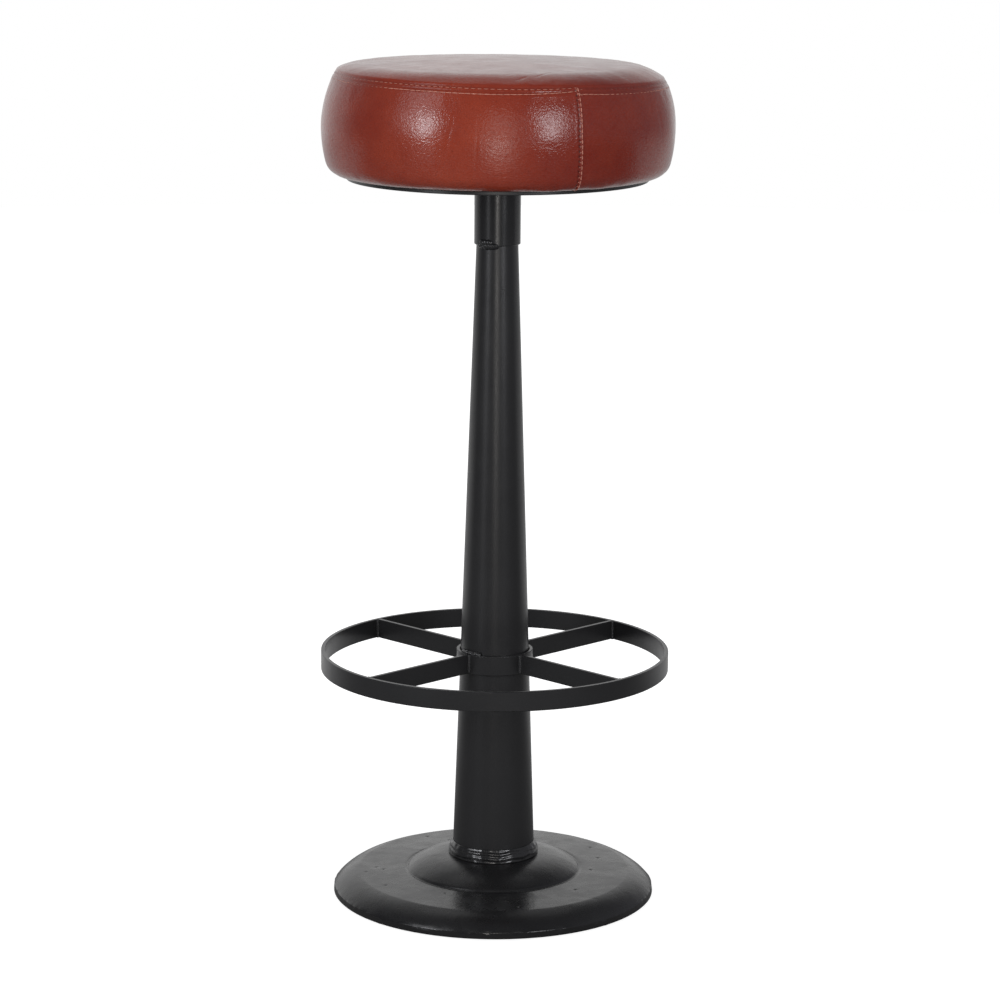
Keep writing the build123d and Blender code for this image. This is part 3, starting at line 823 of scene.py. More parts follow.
def joined(name, *meshes):
    """One mesh from several of one material."""
    points, faces = [], []
    for mesh in meshes:
        first = len(points)
        points += [tuple(v.co) for v in mesh.vertices]
        faces += [tuple(first + k for k in face.vertices) for face in mesh.polygons]
    whole = bpy.data.meshes.new(name)
    whole.from_pydata(points, [], faces)
    whole.polygons.foreach_set("use_smooth", [True] * len(faces))
    whole.materials.append(meshes[0].materials[0])
    for mesh in meshes:
        bpy.data.meshes.remove(mesh)
    return whole


# Node helpers
def feed(tree, socket, value):
    """Links a socket to another node's output, or else sets its value."""
    if isinstance(value, bpy.types.NodeSocket):
        tree.links.new(value, socket)
    else:
        socket.default_value = value


def put(tree, kind, options=None, **inputs):
    """New node with its options set and its inputs fed by name."""
    made = tree.nodes.new(kind)
    for key, value in (options or {}).items():
        setattr(made, key, value)
    for key, value in inputs.items():
        feed(tree, next(s for s in made.inputs if s.name == key.replace("_", " ") and s.enabled), value)
    return made


def combined(tree, kind, options, values):
    """First output of a new node whose inputs are fed in order."""
    made = put(tree, kind, options)
    for socket, value in zip(made.inputs, values):
        feed(tree, socket, value)
    return made.outputs[0]


def maths(tree, operation, *values):
    return combined(tree, "ShaderNodeMath", {"operation": operation}, values)


def vectors(tree, operation, *values):
    return combined(tree, "ShaderNodeVectorMath", {"operation": operation}, values)


def along_axis(tree, place, axis):
    return put(tree, "ShaderNodeSeparateXYZ", Vector=place).outputs[axis]


def spread(tree, value, low, high, to_low, to_high, smooth=False):
    """Value taken from one range to another, and held at its ends."""
    kind = {"interpolation_type": "SMOOTHSTEP" if smooth else "LINEAR"}
    ends = {"From_Min": low, "From_Max": high, "To_Min": to_low, "To_Max": to_high}
    return put(tree, "ShaderNodeMapRange", kind, Value=value, **ends).outputs["Result"]


def tinted(tree, share, first, second):
    """Colour between two colours."""
    made = put(tree, "ShaderNodeMix", {"data_type": "RGBA"})
    for index, value in ((0, share), (6, first), (7, second)):
        feed(tree, made.inputs[index], value)
    return made.outputs[2]


def solid(rgb, share=1.0):
    return (rgb[0] * share, rgb[1] * share, rgb[2] * share, 1.0)


def grain(tree, where, scale, detail=3.0, roughness=0.55):
    made = put(tree, "ShaderNodeTexNoise", Vector=where, Scale=scale, Detail=detail, Roughness=roughness)
    return made.outputs[0]


def cells(tree, where, scale):
    return put(tree, "ShaderNodeTexVoronoi", Vector=where, Scale=scale).outputs["Distance"]


def cloud(tree, place, scale, detail=4):
    """Soft patches between 0 and 1."""
    return spread(tree, grain(tree, place, scale, detail), 0.3, 0.7, 0, 1)


def stretched(tree, place, scale):
    return put(tree, "ShaderNodeMapping", Vector=place, Scale=scale).outputs[0]


def raised(tree, height, distance, strength, under=None):
    made = put(tree, "ShaderNodeBump", Height=height, Distance=distance, Strength=strength)
    if under is not None:
        tree.links.new(under, made.inputs["Normal"])
    return made.outputs[0]


def light_path(tree):
    """Kinds of light ray, and whether the camera sees along this one, through glass too."""
    path = tree.nodes.new("ShaderNodeLightPath").outputs
    return path, maths(tree, "MAXIMUM", path["Is Camera Ray"], path["Is Transmission Ray"])


def cleared(owner):
    """Empty node tree of a material or world."""
    owner.use_nodes = True
    owner.node_tree.nodes.clear()
    return owner.node_tree


def finish_material(name, build, **constants):
    """Material of that name, made on first use: build fills in its nodes, constants sit on the shader."""
    if name in bpy.data.materials:
        return bpy.data.materials[name]
    material = bpy.data.materials.new(name)
    tree = cleared(material)
    shader = tree.nodes.new("ShaderNodeBsdfPrincipled")
    for key, value in constants.items():
        shader.inputs[key.replace("_", " ")].default_value = value
    place = tree.nodes.new("ShaderNodeTexCoord").outputs["Object"]
    tree.links.new(shader.outputs[0], tree.nodes.new("ShaderNodeOutputMaterial").inputs[0])
    for key, value in build(tree, place).items():
        tree.links.new(value, shader.inputs[key.replace("_", " ")])
    return material


# Finishes
def leather_finish():
    tones = settings().finish
    plate = BAND_LOW.z
    grain_bend = (1.7 * MM, 1.7 * MM, 1.7 * MM)

    def tone(tree, place, fold_shade):
        """Worn patches and specks, with painted shade: darker to the right and at the left edge where the
        light falls off, and dark in the folds.
        """
        broad = spread(tree, grain(tree, place, 11, 4), 0.34, 0.68, 0, 1)
        blotch = spread(tree, grain(tree, place, 46, 5, 0.65), 0.35, 0.7, 0, 1)
        dark = maths(tree, "ADD", maths(tree, "MULTIPLY", broad, 0.5), maths(tree, "MULTIPLY", blotch, 0.25))
        across = along_axis(tree, place, "X")
        # Painted shade: the leather darkens towards the right and at its far left edge, where the light
        # falls off across the seat
        dark = maths(tree, "ADD", dark, spread(tree, across, -40 * MM, 110 * MM, 0, 0.5, True))
        dark = maths(tree, "ADD", dark, spread(tree, across, -150 * MM, -70 * MM, 0.45, 0, True))
        speck = spread(tree, grain(tree, place, 420, 2), 0.60, 0.74, 0, 0.35)
        colour_now = tinted(tree, dark, solid(tones.leather_light), solid(tones.leather_dark))
        colour_now = tinted(tree, speck, colour_now, solid(tones.leather_dark, 0.55))
        # Painted shade in the seam, stitch holes, joint groove, creases and under the seat
        return tinted(tree, maths(tree, "MULTIPLY", fold_shade, 0.85), colour_now, solid(tones.leather_dark, 0.22))

    def surface(tree, place, bent):
        """Wrinkles, fine lines that fade towards the top, and pebbles that are strongest under the seam."""
        height = along_axis(tree, place, "Z")
        lined = spread(tree, height, plate + 24 * MM, plate + 64 * MM, 0.38, 0.14, True)
        pebbled = spread(tree, height, plate + 51 * MM, plate + 74 * MM, 0.26, 0.45, True)
        smoother = spread(tree, height, plate + 81 * MM, plate + 88 * MM, 0.45, 0.26, True)
        pebbled = maths(tree, "MINIMUM", pebbled, smoother)
        lines = grain(tree, stretched(tree, bent, (1, 1, 3.2)), 210, 1.5, 0.5)
        normal = raised(tree, grain(tree, place, 42, 3), 1.6 * MM, 0.06)
        normal = raised(tree, lines, 0.7 * MM, lined, normal)
        return raised(tree, cells(tree, bent, 540), 0.3 * MM, pebbled, normal)

    def build(tree, place):
        fold_shade = put(tree, "ShaderNodeAttribute", {"attribute_name": "fold_shade"}).outputs["Fac"]
        warp = put(tree, "ShaderNodeTexNoise", Vector=place, Scale=260, Detail=2).outputs["Color"]
        bent = vectors(tree, "MULTIPLY_ADD", warp, grain_bend, place)
        pores = cells(tree, stretched(tree, bent, (1, 1, 1.5)), 400)
        gloss = spread(tree, grain(tree, place, 34, 4), 0.3, 0.7, 0.17, 0.24)
        return {
            "Base_Color": tone(tree, place, fold_shade),
            "Roughness": maths(tree, "ADD", gloss, maths(tree, "MULTIPLY", fold_shade, 0.25)),
            "Specular_IOR_Level": spread(tree, pores, 0.25, 0.75, 0.60, 0.30),
            "Normal": surface(tree, place, bent),
        }

    return finish_material("seat_leather_finish", build, Coat_Weight=0.1, Coat_Roughness=0.18)


def mottled_finish(name, tone, shares, patches, roughness, bumps, **constants):
    """Finish in two shares of one tone, in patches that set its roughness too, with fine bumps."""
    scale, detail, height, strength = bumps

    def build(tree, place):
        share = cloud(tree, place, *patches)
        return {
            "Base_Color": tinted(tree, share, solid(tone, shares[0]), solid(tone, shares[1])),
            "Roughness": spread(tree, share, 0, 1, *roughness),
            "Normal": raised(tree, grain(tree, place, scale, detail), height, strength),
        }

    return finish_material(name, build, **constants)


def thread_finish():
    tone, bumps = settings().finish.thread, (2600, 1, 0.3 * MM, 0.4)
    shine = {"Specular_IOR_Level": 0.25}
    return mottled_finish("sewing_thread", tone, (1, 0.62), (260, 3), (0.55, 0.7), bumps, **shine)


def weld_finish():
    tone, bumps = settings().finish.casting, (420, 3, 0.5 * MM, 0.35)
    shine = {"Specular_IOR_Level": 0.5, "Coat_Weight": 0.35, "Coat_Roughness": 0.12}
    return mottled_finish("painted_weld", tone, (1.2, 0.75), (130, 4), (0.16, 0.32), bumps, **shine)


def rubber_finish():
    tone, bumps = settings().finish.rubber, (1400, 2, 0.3 * MM, 0.4)
    return mottled_finish("pad_rubber_finish", tone, (1, 0.6), (150, 4), (0.75, 0.9), bumps)


def paint_finish(name="satin_black_paint", low=0.27, high=0.36):
    tones = settings().finish

    def build(tree, place):
        dust = spread(tree, grain(tree, place, 620, 3, 0.7), 0.62, 0.80, 0, 0.5)
        colour_now = tinted(tree, cloud(tree, place, 9), solid(tones.paint), solid(tones.paint, 0.78))
        sags = raised(tree, grain(tree, place, 34, 3), 1.0 * MM, 0.10)
        return {
            "Base_Color": tinted(tree, dust, colour_now, solid(tones.paint, 2.6)),
            "Roughness": spread(tree, grain(tree, place, 22, 5, 0.62), 0.28, 0.72, low, high),
            "Normal": raised(tree, grain(tree, place, 520, 2), 0.25 * MM, 0.12, sags),
        }

    return finish_material(name, build, Specular_IOR_Level=0.5)


def smooth_paint_finish():
    return paint_finish("smooth_black_paint", 0.20, 0.27)


def casting_finish():
    tones = settings().finish
    lip = CASTING_LOW.z + settings().casting.lip_height

    def build(tree, place):
        chip = spread(tree, grain(tree, place, 300, 4, 0.75), 0.66, 0.78, 0, 0.5)
        colour_now = tinted(tree, cloud(tree, place, 16, 5), solid(tones.casting), solid(tones.casting, 0.7))
        pitted = spread(tree, cells(tree, place, 120), 0.0, 0.16, 0, 1)
        surface = raised(tree, grain(tree, place, 60, 4), 1.2 * MM, 0.22)
        surface = raised(tree, grain(tree, place, 340, 4, 0.7), 0.4 * MM, 0.25, surface)
        gloss = spread(tree, grain(tree, place, 40, 5, 0.65), 0.28, 0.72, 0.20, 0.36)
        height = along_axis(tree, place, "Z")
        polished = spread(tree, height, lip - 1.7 * MM, lip + 3.3 * MM, 0.15, 0, True)
        return {
            "Base_Color": tinted(tree, chip, colour_now, solid(tones.casting, 3.0)),
            "Roughness": maths(tree, "SUBTRACT", gloss, polished),
            "Normal": raised(tree, pitted, 0.4 * MM, 0.15, surface),
        }

    coat = {"Coat_Weight": 0.1, "Coat_Roughness": 0.25}
    return finish_material("painted_casting", build, Specular_IOR_Level=0.5, **coat)


def metal_finish(name, tone, low, high):
    def build(tree, place):
        return {
            "Base_Color": tinted(tree, cloud(tree, place, 90), solid(tone), solid(tone, 0.78)),
            "Roughness": spread(tree, grain(tree, place, 240, 4), 0.3, 0.7, low, high),
            "Normal": raised(tree, grain(tree, place, 1500, 2), 0.1 * MM, 0.2),
        }

    return finish_material(name, build, Metallic=1.0)


def plywood_finish():
    tones = settings().finish
    two_plies = 6 * MM

    def build(tree, place):
        height = along_axis(tree, place, "Z")
        plies = maths(tree, "SINE", maths(tree, "MULTIPLY", height, 2 * pi / two_plies))
        fibre = grain(tree, stretched(tree, place, (6, 90, 90)), 2.2, 5)
        share = maths(tree, "ADD", maths(tree, "MULTIPLY", plies, 0.25), fibre)
        tone = spread(tree, share, 0.2, 0.9, 0, 1)
        return {
            "Base_Color": tinted(tree, tone, solid(tones.plywood), solid(tones.plywood, 0.6)),
            "Roughness": spread(tree, fibre, 0.3, 0.7, 0.6, 0.8),
            "Normal": raised(tree, fibre, 0.3 * MM, 0.3),
        }

    return finish_material("plywood_finish", build)


def dress(material, *nodes):
    """Gives CAD nodes a material."""
    for name in nodes:
        painted(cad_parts[name].data, material)


# Operators
class STOOL_OT_cushion(bpy.types.Operator):
    """Make the leather cushion with its seam, joint and puckers"""

    bl_idname = "stool.cushion"
    bl_label = "Leather Cushion"

    def execute(self, context):
        c = settings().cushion
        surface = cushion_surface()
        mesh = turned_mesh("seat_cushion", surface.grid, (c.crown_height, c.plate_top + c.leather))
        # Painted shade in the seam, stitch holes, joint, creases and under the seat, for the leather finish
        fold_shade = mesh.attributes.new("fold_shade", "FLOAT", "POINT")
        fold_shade.data.foreach_set("value", np.concatenate([surface.fold_shade.ravel(), [0, 1]]).astype(np.float32))
        piece = add_piece(
            "seat_cushion",
            mesh,
            "seat",
            "seat_leather",
            "leather_top_panel",
            "leather_side_band",
            "seat_foam",
            material=leather_finish(),
        )
        return {"FINISHED"}


# Stitches, in thicknesses of the thread: width and height, and how far they stand off the leather
ROW_THREAD, CLOSE_THREAD = (0.8, 0.75), (1.3, 1.1)
RIDGE_THREAD, RUNG_THREAD = (1.6, 1.2), (0.9, 0.8)
THREAD_LIFT = 0.12

# Lengths of stitches, the first two in pitches, and places of the joint's stitches to the right of it
CLOSE_LENGTH, RIDGE_LENGTH, RUNG_LENGTH = 1.14, 0.92, 2.6 * MM
RIDGE_PLACE, RUNG_PLACE = 1.5 * MM, 0.2 * MM


class STOOL_OT_stitching(bpy.types.Operator):
    """Sew the two rows round the top and the upright joint of the band"""

    bl_idname = "stool.stitching"
    bl_label = "Stitching"

    def execute(self, context):
        self.rows()
        self.joint()
        return {"FINISHED"}

    def lifted(self, points, facing, closed, sunk=0.0):
        """Path of a row that stands a little off the leather, less what it sinks."""
        off = settings().stitching.thread * THREAD_LIFT - np.reshape(sunk, (-1, 1))
        return points + facing * off, facing, closed

    def size(self, stitch_length, shape):
        thread = settings().stitching.thread
        return stitch_length, thread * shape[0], thread * shape[1]

    def rows(self):
        """Two rows round the top, of which the lower has close, thick stitches."""
        sewn, surface = settings().stitching, cushion_surface()
        below = sewn.lower_row - surface.closing()
        upper = self.size(sewn.stitch, ROW_THREAD)
        lower = self.size(sewn.pitch * CLOSE_LENGTH, CLOSE_THREAD)
        for name, place, spans, size, seed in (
            ("upper_stitch_row", -sewn.upper_row, UPPER_SUNK, upper, sewn.seed),
            ("lower_stitch_row", below, LOWER_SUNK, lower, sewn.seed + 1),
        ):
            path = [self.lifted(*surface.row(place), True, surface.sinking(spans))]
            mesh = bead_mesh(name, path, sewn.pitch, size, thread_finish(), seed=seed)
            add_piece(name, mesh, "seat", "seat_leather")

    def joint(self):
        """Ridge of stitches down the joint, with rungs across it."""
        sewn, surface, thread = settings().stitching, cushion_surface(), thread_finish()
        top, bottom = surface.seam - JOINT_HEAD, surface.hem - 4 * MM
        ridge = [self.lifted(*surface.upright(RIDGE_PLACE, top, bottom), False)]
        rungs = [self.lifted(*surface.upright(RUNG_PLACE, top, bottom), False)]
        pitch = sewn.joint_pitch
        ridge_size = self.size(pitch * RIDGE_LENGTH, RIDGE_THREAD)
        rung_size = self.size(RUNG_LENGTH, RUNG_THREAD)
        mesh = joined(
            "joint_stitches",
            bead_mesh("joint_ridge", ridge, pitch, ridge_size, thread, seed=sewn.seed + 2),
            bead_mesh("joint_rungs", rungs, pitch, rung_size, thread, pi / 2, seed=sewn.seed + 3),
        )
        add_piece("joint_stitches", mesh, "seat", "seat_leather")


# Fits: gap beside a weld, spigot of the casting inside the column, mouth of the column inside the housing
WELD_FIT, SPIGOT_INSET, MOUTH_INSET = 0.1 * MM, 2.5 * MM, 2.1 * MM

# Pits in the cast surface: angle round from the front in degrees, radius and size in millimetres
CAST_PITS = (
    (-146, 121, 1.6),
    (124, 118, 1.6),
    (106, 109, 1.5),
    (-84, 109, 1.4),
    (-88, 116, 1.2),
    (-60, 121, 1.1),
    (48, 108, 1.2),
    (-152, 96, 1.2),
    (12, 126, 1.0),
    (84, 97, 1.3),
    (168, 112, 1.5),
    (-28, 99, 0.9),
    (-82, 127, 1.1),
)

# Ripples of the cast surface: share, size in millimetres and seed
CAST_RIPPLES = ((0.6, 48, 1.7), (0.35, 15, 4.4), (0.18, 5, 6.1))
CAST_COLUMNS = 480


class STOOL_OT_casting(bpy.types.Operator):
    """Make the cast foot with its uneven surface, worn lip and pits"""

    bl_idname = "stool.casting"
    bl_label = "Cast Foot"

    def execute(self, context):
        c = settings().casting
        section = self.section(c)
        hub_edge, dome_foot, bevel_top, lip_top, lip_foot = section.ends[3:8]
        along = section.stations(
            6.0 * MM,
            ((hub_edge + lip_foot) / 2, 1.6 * MM, 62 * MM),
            (lip_top, 0.4 * MM, 4 * MM),
            (dome_foot, 1.2 * MM, 6 * MM),
            (bevel_top, 1.4 * MM, 6 * MM),
        )[:-1]
        s, angles = along[:, None], turns_round(CAST_COLUMNS)
        shape, facing = section.at(along), section.normals(along, 0.6 * MM)
        points = revolved(shape, angles)
        chips = np.clip(ripple(points, 7 * MM, 9.3) - 0.12, 0, 1) + 0.5 * ripple(points, 19 * MM, 2.9)
        lift = c.roughcast * ripples(points, CAST_RIPPLES)
        lift = lift - c.chips * bell(s - lip_top, 1.7 * MM) * chips
        lift = lift - c.hub_groove * bell(s - dome_foot, 1.8 * MM)
        upper_side = (s > hub_edge) & (s < lip_top)
        for pit_turn, pit_radius, size in CAST_PITS:
            away = FRONT + radians(pit_turn)
            centre = np.array([pit_radius * MM * cos(away), pit_radius * MM * sin(away)])
            apart = np.hypot(*np.moveaxis(points[..., :2] - centre, -1, 0))
            lift = lift - c.pits * bell(apart, size * MM) * upper_side
        shown = ramp(s - hub_edge, 10 * MM) * ramp(lip_foot - s, 2 * MM)
        mesh = turned_mesh("cast_foot", relieved(shape, facing, lift * shown, angles))
        add_piece("cast_foot", mesh, "stand", "cast_black", "base_casting", material=casting_finish())
        return {"FINISHED"}

    def section(self, c):
        """Half section of the casting, from the hole in its hub out to the lip and back underneath."""
        radius, bottom = CASTING_HIGH.x, CASTING_LOW.z
        hub = (WELD_HIGH.x + WELD_FIT, COLUMN_LOW.z)
        lip = (radius - c.lip_draft, bottom + c.lip_height)
        flat_outer = (lip[0] - c.bevel_width, lip[1] + c.bevel_rise)
        flat_inner = (flat_outer[0] - c.flat_width, flat_outer[1] + c.flat_rise)
        rim_inner = (radius - c.rim_land, bottom)
        ceiling_outer = (rim_inner[0] - c.rim_draft, flat_outer[1] - c.wall)
        ceiling_inner = (flat_inner[0], flat_inner[1] - c.wall)
        hub_inner = (hub[0], hub[1] - c.wall)
        spigot_radius, spigot_top = COLUMN_HIGH.x - SPIGOT_INSET, CASTING_HIGH.z
        return Section(
            [
                line((c.access, hub_inner[1]), (c.access, spigot_top)),
                line((c.access, spigot_top), (spigot_radius, spigot_top)),
                line((spigot_radius, spigot_top), (spigot_radius, hub[1])),
                line((spigot_radius, hub[1]), hub),
                bulged(hub, flat_inner, c.dome_bulge),
                line(flat_inner, flat_outer),
                bulged(flat_outer, lip, c.bevel_bulge),
                line(lip, (radius, bottom)),
                line((radius, bottom), rim_inner),
                line(rim_inner, ceiling_outer),
                line(ceiling_outer, ceiling_inner),
                bulged(ceiling_inner, hub_inner, -c.dome_bulge),
                line(hub_inner, (c.access, hub_inner[1])),
            ],
            rounding=0.6 * MM,
        )


# Bead round the foot of the column: columns of its grid, passes of the weld
BEAD_COLUMNS, BEAD_PASSES = 420, 3

# Foot rest: thickness of its bar, turns of its spokes in degrees, size and pitch of its weld puddles
BAR = 4.0 * MM
SPOKE_TURNS = (45, 135, 225, 315)
SPOKE_PUDDLE, SPOKE_PITCH = (3.4 * MM, 3.8 * MM, 2.1 * MM), 1.1 * MM


class STOOL_OT_welds(bpy.types.Operator):
    """Lay the weld beads at the foot of the column, the foot rest and the housing"""

    bl_idname = "stool.welds"
    bl_label = "Welds"

    def execute(self, context):
        self.column_bead()
        self.spoke_beads()
        self.tacks()
        return {"FINISHED"}

    def column_bead(self):
        """Bead of three uneven passes round the foot of the column."""
        foot, crest = WELD_LOW.z, WELD_HIGH.z
        mouth = HOUSING_HIGH.x - MOUTH_INSET
        taper = (COLUMN_HIGH.x - mouth) / (HOUSING_LOW.z - COLUMN_LOW.z)
        root, toe = (COLUMN_HIGH.x + WELD_FIT, foot), (WELD_HIGH.x, foot)
        head = (root[0] - taper * (crest - foot), crest)
        section = Section([line(root, head), bulged(head, toe, 1.2 * MM), line(toe, root)])
        start, end = section.ends[:2]
        along = section.stations(3 * MM, ((start + end) / 2, 0.42 * MM, 7 * MM))[:-1]
        shape, facing, angles = section.at(along), section.normals(along), turns_round(BEAD_COLUMNS)
        points = revolved(shape, angles)
        share, fade = ((along - start) / (end - start))[:, None], 0.08
        outside = ramp(share, fade) * ramp(1 - share, fade)
        wander = 0.12 * ripple(points * (1, 1, 0.2), 16 * MM, 3.3)
        passes = np.cos(2 * pi * BEAD_PASSES * (share + wander))
        proud = 0.12 + 0.33 * bell(wrapped(angles - FRONT), 0.55)
        lift = outside * MM * (proud * passes + 0.42 * ripple(points, 6 * MM, 7.7) + 0.1)
        mesh = turned_mesh("column_foot_bead", relieved(shape, facing, lift, angles))
        add_piece(
            "column_foot_bead", mesh, "stand", "cast_black", "column_foot_weld", material=weld_finish()
        )

    def spoke_beads(self):
        """Corner beads on both faces of each spoke, at the collar and at the ring."""
        inset, offset, proud = 1.5 * MM, BAR / 2 + 0.8 * MM, 0.7 * MM
        low, high = RING_LOW.z + inset, RING_HIGH.z - inset
        paths = []
        for spoke in SPOKE_TURNS:
            out = np.array([cos(radians(spoke)), sin(radians(spoke)), 0])
            side = np.array([-out[1], out[0], 0])
            for reach, inwards in ((COLLAR_HIGH.x, 1), (RING_HIGH.x - BAR, -1)):
                for hand in (1, -1):
                    along = np.sqrt(reach**2 - offset**2) + inwards * proud
                    corner = out * along + side * hand * offset
                    facing = (out * inwards + side * hand) / np.sqrt(2)
                    ends = [corner + (0, 0, low), corner + (0, 0, high)]
                    paths.append((ends, [facing, facing], False))
        finish = paint_finish()
        mesh = bead_mesh("spoke_beads", paths, SPOKE_PITCH, SPOKE_PUDDLE, finish, variation=0.05, seed=11)
        add_piece("spoke_beads", mesh, "stand", "black_paint", "spoke_welds")

    def tacks(self):
        """Short uneven tacks on the collar and under the housing, left of the front."""
        collar, collar_top = COLLAR_HIGH.x, COLLAR_HIGH.z
        housing, mouth = HOUSING_HIGH.x, HOUSING_LOW.z
        on_top = self.tack_run(collar - 2.4 * MM, collar_top + 0.9 * MM, middle=227, span=34, tilt=1)
        under = self.tack_run(housing - 1.2 * MM, mouth - 0.4 * MM, middle=243, span=44, tilt=-1)
        beside = self.tack_run(housing - 0.9 * MM, mouth + 3.0 * MM, middle=240, span=24, tilt=-0.2)
        for name, node, runs, size, finish in (
            ("collar_tack", "collar_tack_weld", [on_top], 5.2 * MM, weld_finish()),
            ("housing_tack", "housing_tack_weld", [under, beside], 6.8 * MM, smooth_paint_finish()),
        ):
            puddle = (size, size * 0.95, size * 0.75)
            mesh = bead_mesh(name, runs, 1.7 * MM, puddle, finish, variation=0.22, seed=5)
            add_piece(name, mesh, "stand", "black_paint", node)

    def tack_run(self, radius, height, middle, span, tilt):
        """Path of a tack over a span of degrees about its middle, facing out and tilted up or down."""
        turns = np.radians(np.linspace(middle - span / 2, middle + span / 2, 24))
        level = np.ones_like(turns)
        facing = swept(0.7 * level, 0.7 * tilt * level, turns)
        return swept(radius * level, height * level, turns), facing, False


class STOOL_OT_frame(bpy.types.Operator):
    """Paint the column, housing, foot rest and seat plate"""

    bl_idname = "stool.frame"
    bl_label = "Painted Frame"

    def execute(self, context):
        spokes = [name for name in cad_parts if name.startswith("foot_spoke_")]
        dress(paint_finish(), "column", "foot_ring", "foot_collar", "seat_plate", *spokes)
        dress(smooth_paint_finish(), "swivel_housing")
        return {"FINISHED"}


class STOOL_OT_hardware(bpy.types.Operator):
    """Finish the pads, bushes, spindle, fasteners and board"""

    bl_idname = "stool.hardware"
    bl_label = "Hardware"

    def execute(self, context):
        tones = settings().finish
        dress(rubber_finish(), "floor_pads")
        dress(metal_finish("bush_bronze_finish", tones.bronze, 0.25, 0.42), "upper_bush", "lower_bush")
        dress(metal_finish("bright_steel_finish", tones.steel, 0.2, 0.36), "spindle")
        zinc = metal_finish("zinc_plate_finish", tones.zinc, 0.26, 0.44)
        dress(zinc, "spindle_washer", "spindle_nut", "seat_screws")
        dress(zinc, "screw_washers", "tee_nuts", "hem_staples")
        dress(plywood_finish(), "seat_board")
        return {"FINISHED"}


# Lamps: brightness setting, tint, turn from the front in degrees, metres away, up, wide and tall, shape
COOL, WARM = (0.95, 0.96, 1.0), (1.0, 0.965, 0.925)
LAMPS = {
    "left_softbox": ("left_light", COOL, -46, 2.3, 1.10, 0.39, 0.78, "RECTANGLE"),
    "left_glow": ("glow_light", COOL, -53, 2.3, 1.75, 1.15, 2.3, "ELLIPSE"),
    "right_softbox": ("right_light", COOL, 33, 2.3, 1.16, 0.56, 1.10, "RECTANGLE"),
    "left_low_panel": ("low_light", COOL, -46, 2.0, 0.28, 0.42, 0.5, "RECTANGLE"),
    "front_panel": ("panel_light", WARM, 1.0, 1.2, 0.72, 0.5, 1.1, "ELLIPSE"),
    "front_strip": ("strip_light", WARM, -1.0, 2.1, 0.48, 0.20, 0.28, "RECTANGLE"),
}
LAMP_AIM = Vector((0, 0, 0.65))

# Floor: radii of its rings in metres, facets round it, its own glow, and how much of that paint mirrors
FLOOR_RINGS = (6.0, 3.0, 1.0, 0.4)
FLOOR_FACETS = 96
FLOOR_GLOW, FLOOR_MIRRORED = 0.90, 0.32


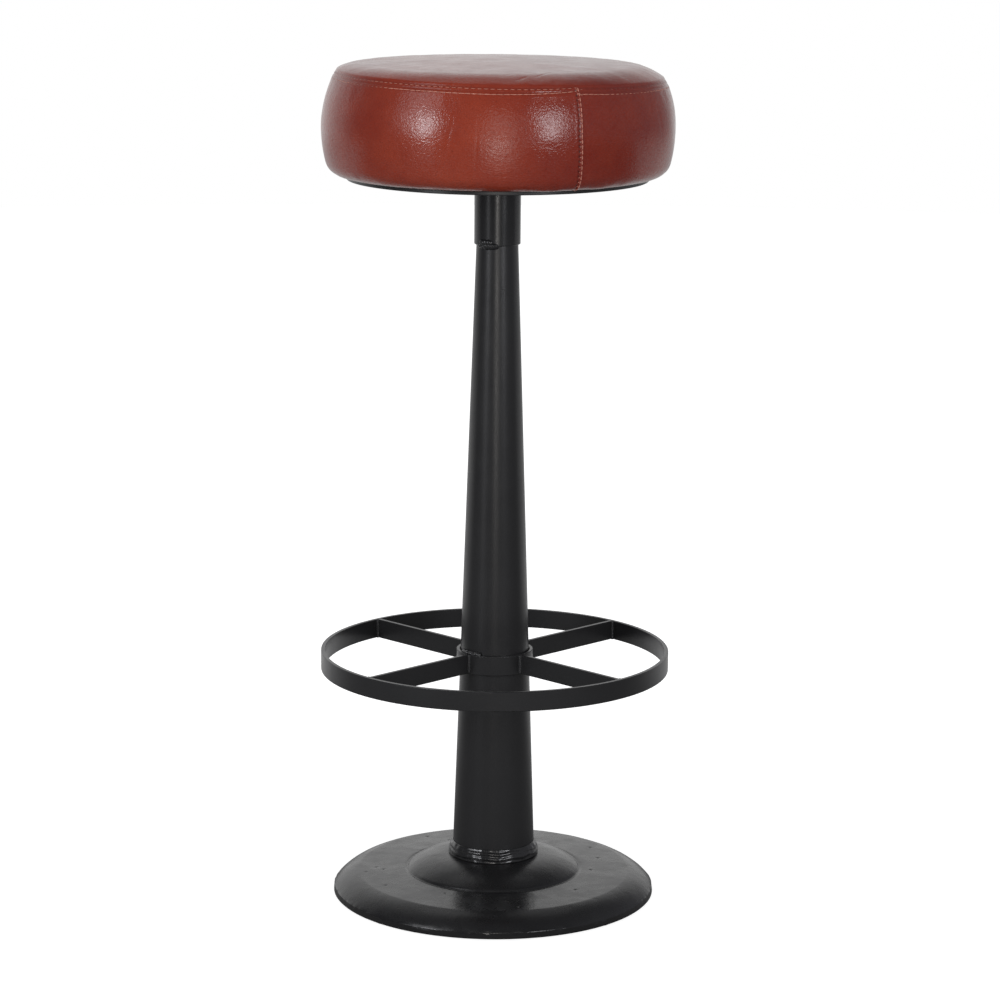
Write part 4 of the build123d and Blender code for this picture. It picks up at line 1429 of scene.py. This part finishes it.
class STOOL_OT_stage(bpy.types.Operator):
    """Set the camera, the pale floor and the studio light"""

    bl_idname = "stool.stage"
    bl_label = "Camera, Floor and Light"

    def execute(self, context):
        scene, s = context.scene, settings().stage
        scene.view_settings.view_transform = "Standard"
        scene.camera = self.camera(s)
        self.floor(s)
        scene.world = self.surroundings(s)
        for name, (setting, *lamp) in LAMPS.items():
            self.softbox(name, getattr(s, setting), *lamp)
        return {"FINISHED"}

    def camera(self, s):
        lens = bpy.data.cameras.new("studio_camera")
        lens.lens = s.lens
        lens.sensor_width = 36
        lens.clip_end = 50
        camera = placed("studio_camera", lens)
        aim = Matrix.Rotation(pi / 2 - s.pitch, 3, "X") @ Matrix.Rotation(s.roll, 3, "Z")
        camera.location = (s.offset, -s.distance, s.height)
        camera.rotation_euler = aim.to_euler()
        return camera

    def softbox(self, name, brightness, tint, turn_degrees, away, height, width, tall, shape):
        lamp = bpy.data.lights.new(name, "AREA")
        lamp.color = tint
        lamp.shape = shape
        lamp.size, lamp.size_y = width, tall
        lamp.energy = brightness * pi * width * tall
        holder = placed(name, lamp)
        turned = FRONT + radians(turn_degrees)
        holder.location = (away * cos(turned), away * sin(turned), height)
        holder.visible_camera = False
        holder.rotation_euler = (LAMP_AIM - holder.location).to_track_quat("-Z", "Y").to_euler()

    def floor(self, s):
        """Round floor that the camera sees white, with the stool's shadow."""
        rings = np.array([[reach, 0] for reach in FLOOR_RINGS])
        points = revolved(rings, turns_round(FLOOR_FACETS)).reshape(-1, 3).tolist() + [(0, 0, 0)]
        index = np.arange(len(points) - 1).reshape(len(rings), FLOOR_FACETS)
        ahead = np.roll(index, -1, 1)
        faces = np.stack([index[:-1], ahead[:-1], ahead[1:], index[1:]], -1).reshape(-1, 4).tolist()
        faces += [(a, b, len(points) - 1) for a, b in zip(index[-1].tolist(), ahead[-1].tolist())]
        mesh = bpy.data.meshes.new("pale_floor")
        mesh.from_pydata(points, [], faces)
        floor = placed("pale_floor", mesh)
        material = bpy.data.materials.new("pale_floor_finish")
        tree = cleared(material)
        place = tree.nodes.new("ShaderNodeTexCoord").outputs["Object"]
        behind = spread(tree, along_axis(tree, place, "Y"), 0.1, 0.9, 0, 1, True)
        tone = tinted(tree, behind, solid(s.floor), solid(s.floor_behind))
        matt = put(tree, "ShaderNodeBsdfDiffuse", Color=tone).outputs[0]
        white = put(tree, "ShaderNodeEmission", Color=solid(s.backdrop), Strength=FLOOR_GLOW).outputs[0]
        bright = combined(tree, "ShaderNodeAddShader", {}, (matt, white))
        path, seen = light_path(tree)
        mirrored = maths(tree, "MULTIPLY", behind, FLOOR_MIRRORED)
        mirrored = maths(tree, "MULTIPLY", path["Is Glossy Ray"], mirrored)
        share = maths(tree, "MAXIMUM", seen, mirrored)
        shown = combined(tree, "ShaderNodeMixShader", {}, (share, matt, bright))
        tree.links.new(shown, tree.nodes.new("ShaderNodeOutputMaterial").inputs[0])
        mesh.materials.append(material)

    def surroundings(self, s):
        """White surroundings beside and behind the stool, up to head height, and a dim room elsewhere."""
        world = bpy.data.worlds.new("studio")
        tree = cleared(world)
        way = tree.nodes.new("ShaderNodeTexCoord").outputs["Generated"]
        right, back, up = (along_axis(tree, way, axis) for axis in "XYZ")
        leftwards = maths(tree, "MULTIPLY_ADD", right, -0.27, back)
        overhead = spread(tree, up, 0.75, 1.0, 0, 0.6)
        behind = spread(tree, maths(tree, "ADD", leftwards, overhead), 0.42, 0.95, 0, 1, True)
        low = spread(tree, up, 0.84, 1.0, 1, 0, True)
        white = maths(tree, "MULTIPLY", behind, low)
        path, seen = light_path(tree)
        lighter = spread(tree, right, 0.3, 0.9, 0, 1, True)
        room = tinted(tree, lighter, solid(s.room), solid(s.room, 2.7))
        light = tinted(tree, white, room, solid(s.backdrop, 0.86))
        light = tinted(tree, path["Is Diffuse Ray"], light, solid(s.fill))
        light = tinted(tree, seen, light, solid(s.backdrop))
        back_light = put(tree, "ShaderNodeBackground", Color=light, Strength=1.0)
        tree.links.new(back_light.outputs[0], tree.nodes.new("ShaderNodeOutputWorld").inputs[0])
        return world


OPERATORS = (
    STOOL_OT_cushion,
    STOOL_OT_stitching,
    STOOL_OT_casting,
    STOOL_OT_welds,
    STOOL_OT_frame,
    STOOL_OT_hardware,
    STOOL_OT_stage,
)


class STOOL_PT_panel(bpy.types.Panel):
    """Settings and steps of the stool"""

    bl_idname = "STOOL_PT_panel"
    bl_label = "Swivel Bar Stool"
    bl_space_type = "VIEW_3D"
    bl_region_type = "UI"
    bl_category = "Stool"

    def draw(self, context):
        for operator in OPERATORS:
            self.layout.operator(operator.bl_idname)
        for group in ("cushion", "stitching", "casting", "finish", "stage"):
            box = self.layout.box()
            box.label(text=group.capitalize())
            values = getattr(context.scene.stool, group)
            for name in values.__annotations__:
                box.prop(values, name)


CLASSES = (
    StoolCushion,
    StoolStitching,
    StoolCasting,
    StoolFinish,
    StoolStage,
    StoolSettings,
    *OPERATORS,
    STOOL_PT_panel,
)


def register():
    for kind in CLASSES:
        bpy.utils.register_class(kind)
    bpy.types.Scene.stool = PointerProperty(type=StoolSettings)


def unregister():
    del bpy.types.Scene.stool
    for kind in reversed(CLASSES):
        bpy.utils.unregister_class(kind)


def main():
    register()
    bpy.ops.stool.cushion()
    bpy.ops.stool.stitching()
    bpy.ops.stool.casting()
    bpy.ops.stool.welds()
    bpy.ops.stool.frame()
    bpy.ops.stool.hardware()
    bpy.ops.stool.stage()


if __name__ == "__main__":
    main()
